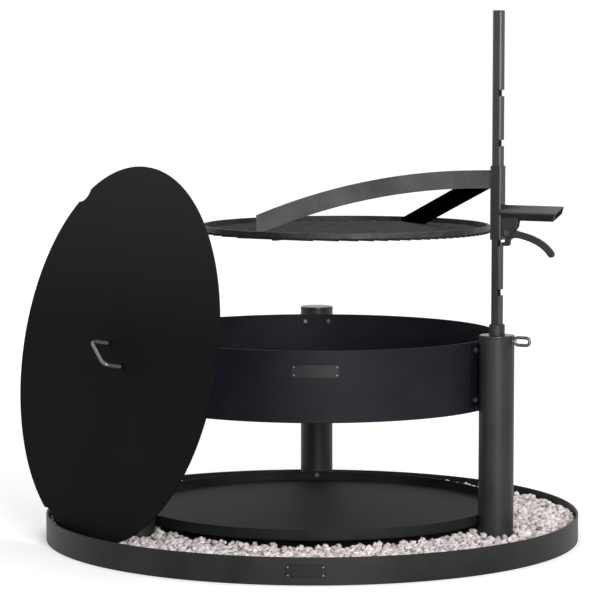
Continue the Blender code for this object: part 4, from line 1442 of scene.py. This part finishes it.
@dataclass
class Studio:
    """Pale floor, white surroundings, two soft lamps and the camera."""

    eye: tuple[float, float, float] = (0.0, -6.063, 1.070)
    pitch: float = 0.0903
    pan: float = 0.00606
    lens: float = 166.5
    sensor: float = 36.0
    middle: tuple[float, float, float] = (0.0, 0.0, 0.45)
    floor_radius: float = 40.0
    floor_drop: float = 0.0005
    near_glow: float = 0.40
    far_glow: float = 0.74
    surround: float = 0.38

    def build_floor(self) -> None:
        """Lays the floor, which keeps the object's shadow and looks white to the eye."""
        work = bmesh.new()
        bmesh.ops.create_circle(work, cap_ends=True, segments=64, radius=self.floor_radius)
        bmesh.ops.translate(work, verts=work.verts, vec=(0.0, 0.0, -self.floor_drop))
        floor = new_piece("studio_floor", work, Shading.FACETED)
        floor.data.materials.append(self.paper())

    def paper(self) -> Material:
        """Builds the floor's matt white paper, whose own white fills in where the lamps fall off.

        Returns:
            The material.
        """
        material, tree, shader = blank_material("studio_paper_white")
        shader.inputs["Base Color"].default_value = linear("#e6e6e6")
        shader.inputs["Roughness"].default_value = 0.9
        shader.inputs["Specular IOR Level"].default_value = 0.1
        shader.inputs["Emission Color"].default_value = linear("#ffffff")
        place = add_node(tree, "ShaderNodeTexCoord").outputs["Object"]
        reach = add_node(tree, "ShaderNodeVectorMath", {"operation": "LENGTH"}, {0: place})
        # Far from the lamps the paper needs more of its own white
        glow = add_node(tree, "ShaderNodeMapRange", {"From Min": 0.7, "From Max": 3.2,
                                                     "To Min": self.near_glow, "To Max": self.far_glow},
                        {"Value": reach.outputs["Value"]})
        strength = add_node(tree, "ShaderNodeMath", {"operation": "MULTIPLY"},
                            {0: self.seen_rays(tree), 1: glow.outputs["Result"]})
        tree.links.new(strength.outputs["Value"], shader.inputs["Emission Strength"])
        return material

    def seen_rays(self, tree: Tree) -> Socket:
        """Picks out the rays that show the background: by eye, in gloss or through glass.

        Args:
            tree: Node tree that gets the nodes.

        Returns:
            A socket that is one for those rays, and zero for the others.
        """
        path = add_node(tree, "ShaderNodeLightPath")
        gloss = add_node(tree, "ShaderNodeMath", {"operation": "MAXIMUM"},
                         {0: path.outputs["Is Camera Ray"], 1: path.outputs["Is Glossy Ray"]})
        both = add_node(tree, "ShaderNodeMath", {"operation": "MAXIMUM"},
                        {0: gloss.outputs["Value"], 1: path.outputs["Is Transmission Ray"]})
        return both.outputs["Value"]

    def build_world(self) -> None:
        """Surrounds the object with even light, and shows white behind it."""
        world = bpy.data.worlds.new("studio_world")
        bpy.context.scene.world = world
        world.use_nodes = True
        tree = world.node_tree
        tree.nodes.clear()
        white = linear("#ffffff")
        light = add_node(tree, "ShaderNodeBackground", {"Color": white, "Strength": self.surround})
        shown = add_node(tree, "ShaderNodeBackground", {"Color": white, "Strength": 1.0})
        mix = add_node(tree, "ShaderNodeMixShader", {}, {0: self.seen_rays(tree),
                                                         1: light.outputs["Background"],
                                                         2: shown.outputs["Background"]})
        add_node(tree, "ShaderNodeOutputWorld", {}, {"Surface": mix.outputs["Shader"]})

    def add_lamp(self, name: str, place: Sequence[float], size: Pair, watts: float) -> None:
        """Hangs one soft lamp that looks at the middle of the object.

        Args:
            name: The lamp's name.
            place: Where it hangs.
            size: Its width and height.
            watts: Its power.
        """
        data = bpy.data.lights.new(name, "AREA")
        data.shape = "RECTANGLE"
        data.size, data.size_y = size
        data.energy = watts
        lamp = bpy.data.objects.new(name, data)
        lamp.visible_camera = False
        lamp.location = place
        aim = Vector(self.middle) - Vector(place)
        lamp.rotation_euler = aim.to_track_quat("-Z", "Y").to_euler()
        bpy.context.scene.collection.objects.link(lamp)

    def build_camera(self) -> None:
        """Stands the camera in front and a little above, at the photograph's viewing angle."""
        data = bpy.data.cameras.new("photo_camera")
        data.lens = self.lens
        data.sensor_width = self.sensor
        camera = bpy.data.objects.new("photo_camera", data)
        camera.location = self.eye
        camera.rotation_euler = (math.pi / 2 - self.pitch, 0.0, self.pan)
        bpy.context.scene.collection.objects.link(camera)
        bpy.context.scene.camera = camera

    def build(self) -> None:
        """Builds the floor, the world, the lamps and the camera."""
        self.build_floor()
        self.build_world()
        self.add_lamp("key_softbox", place=(1.2, -5.2, 1.5), size=(1.8, 1.6), watts=270.0)
        self.add_lamp("top_softbox", place=(0.2, 0.4, 3.6), size=(2.4, 1.8), watts=45.0)
        self.build_camera()
        bpy.context.scene.view_settings.view_transform = "Standard"


def main() -> None:
    """Builds every sub-assembly, then the studio."""
    logging.basicConfig(level=logging.INFO, format="%(name)s %(message)s")
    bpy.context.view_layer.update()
    materials = {name: finish.material() for name, finish in FINISHES.items()}
    lid = Lid()
    StoneRing().build(lid.place(), lid.radius, materials)
    FireBowl().build(materials)
    PostsAndShelf().build(materials)
    Mast().build(materials)
    SwingGrate().build(materials)
    ClampScrew().build(materials)
    lid.build(materials)
    Studio().build()


if __name__ == "__main__":
    main()
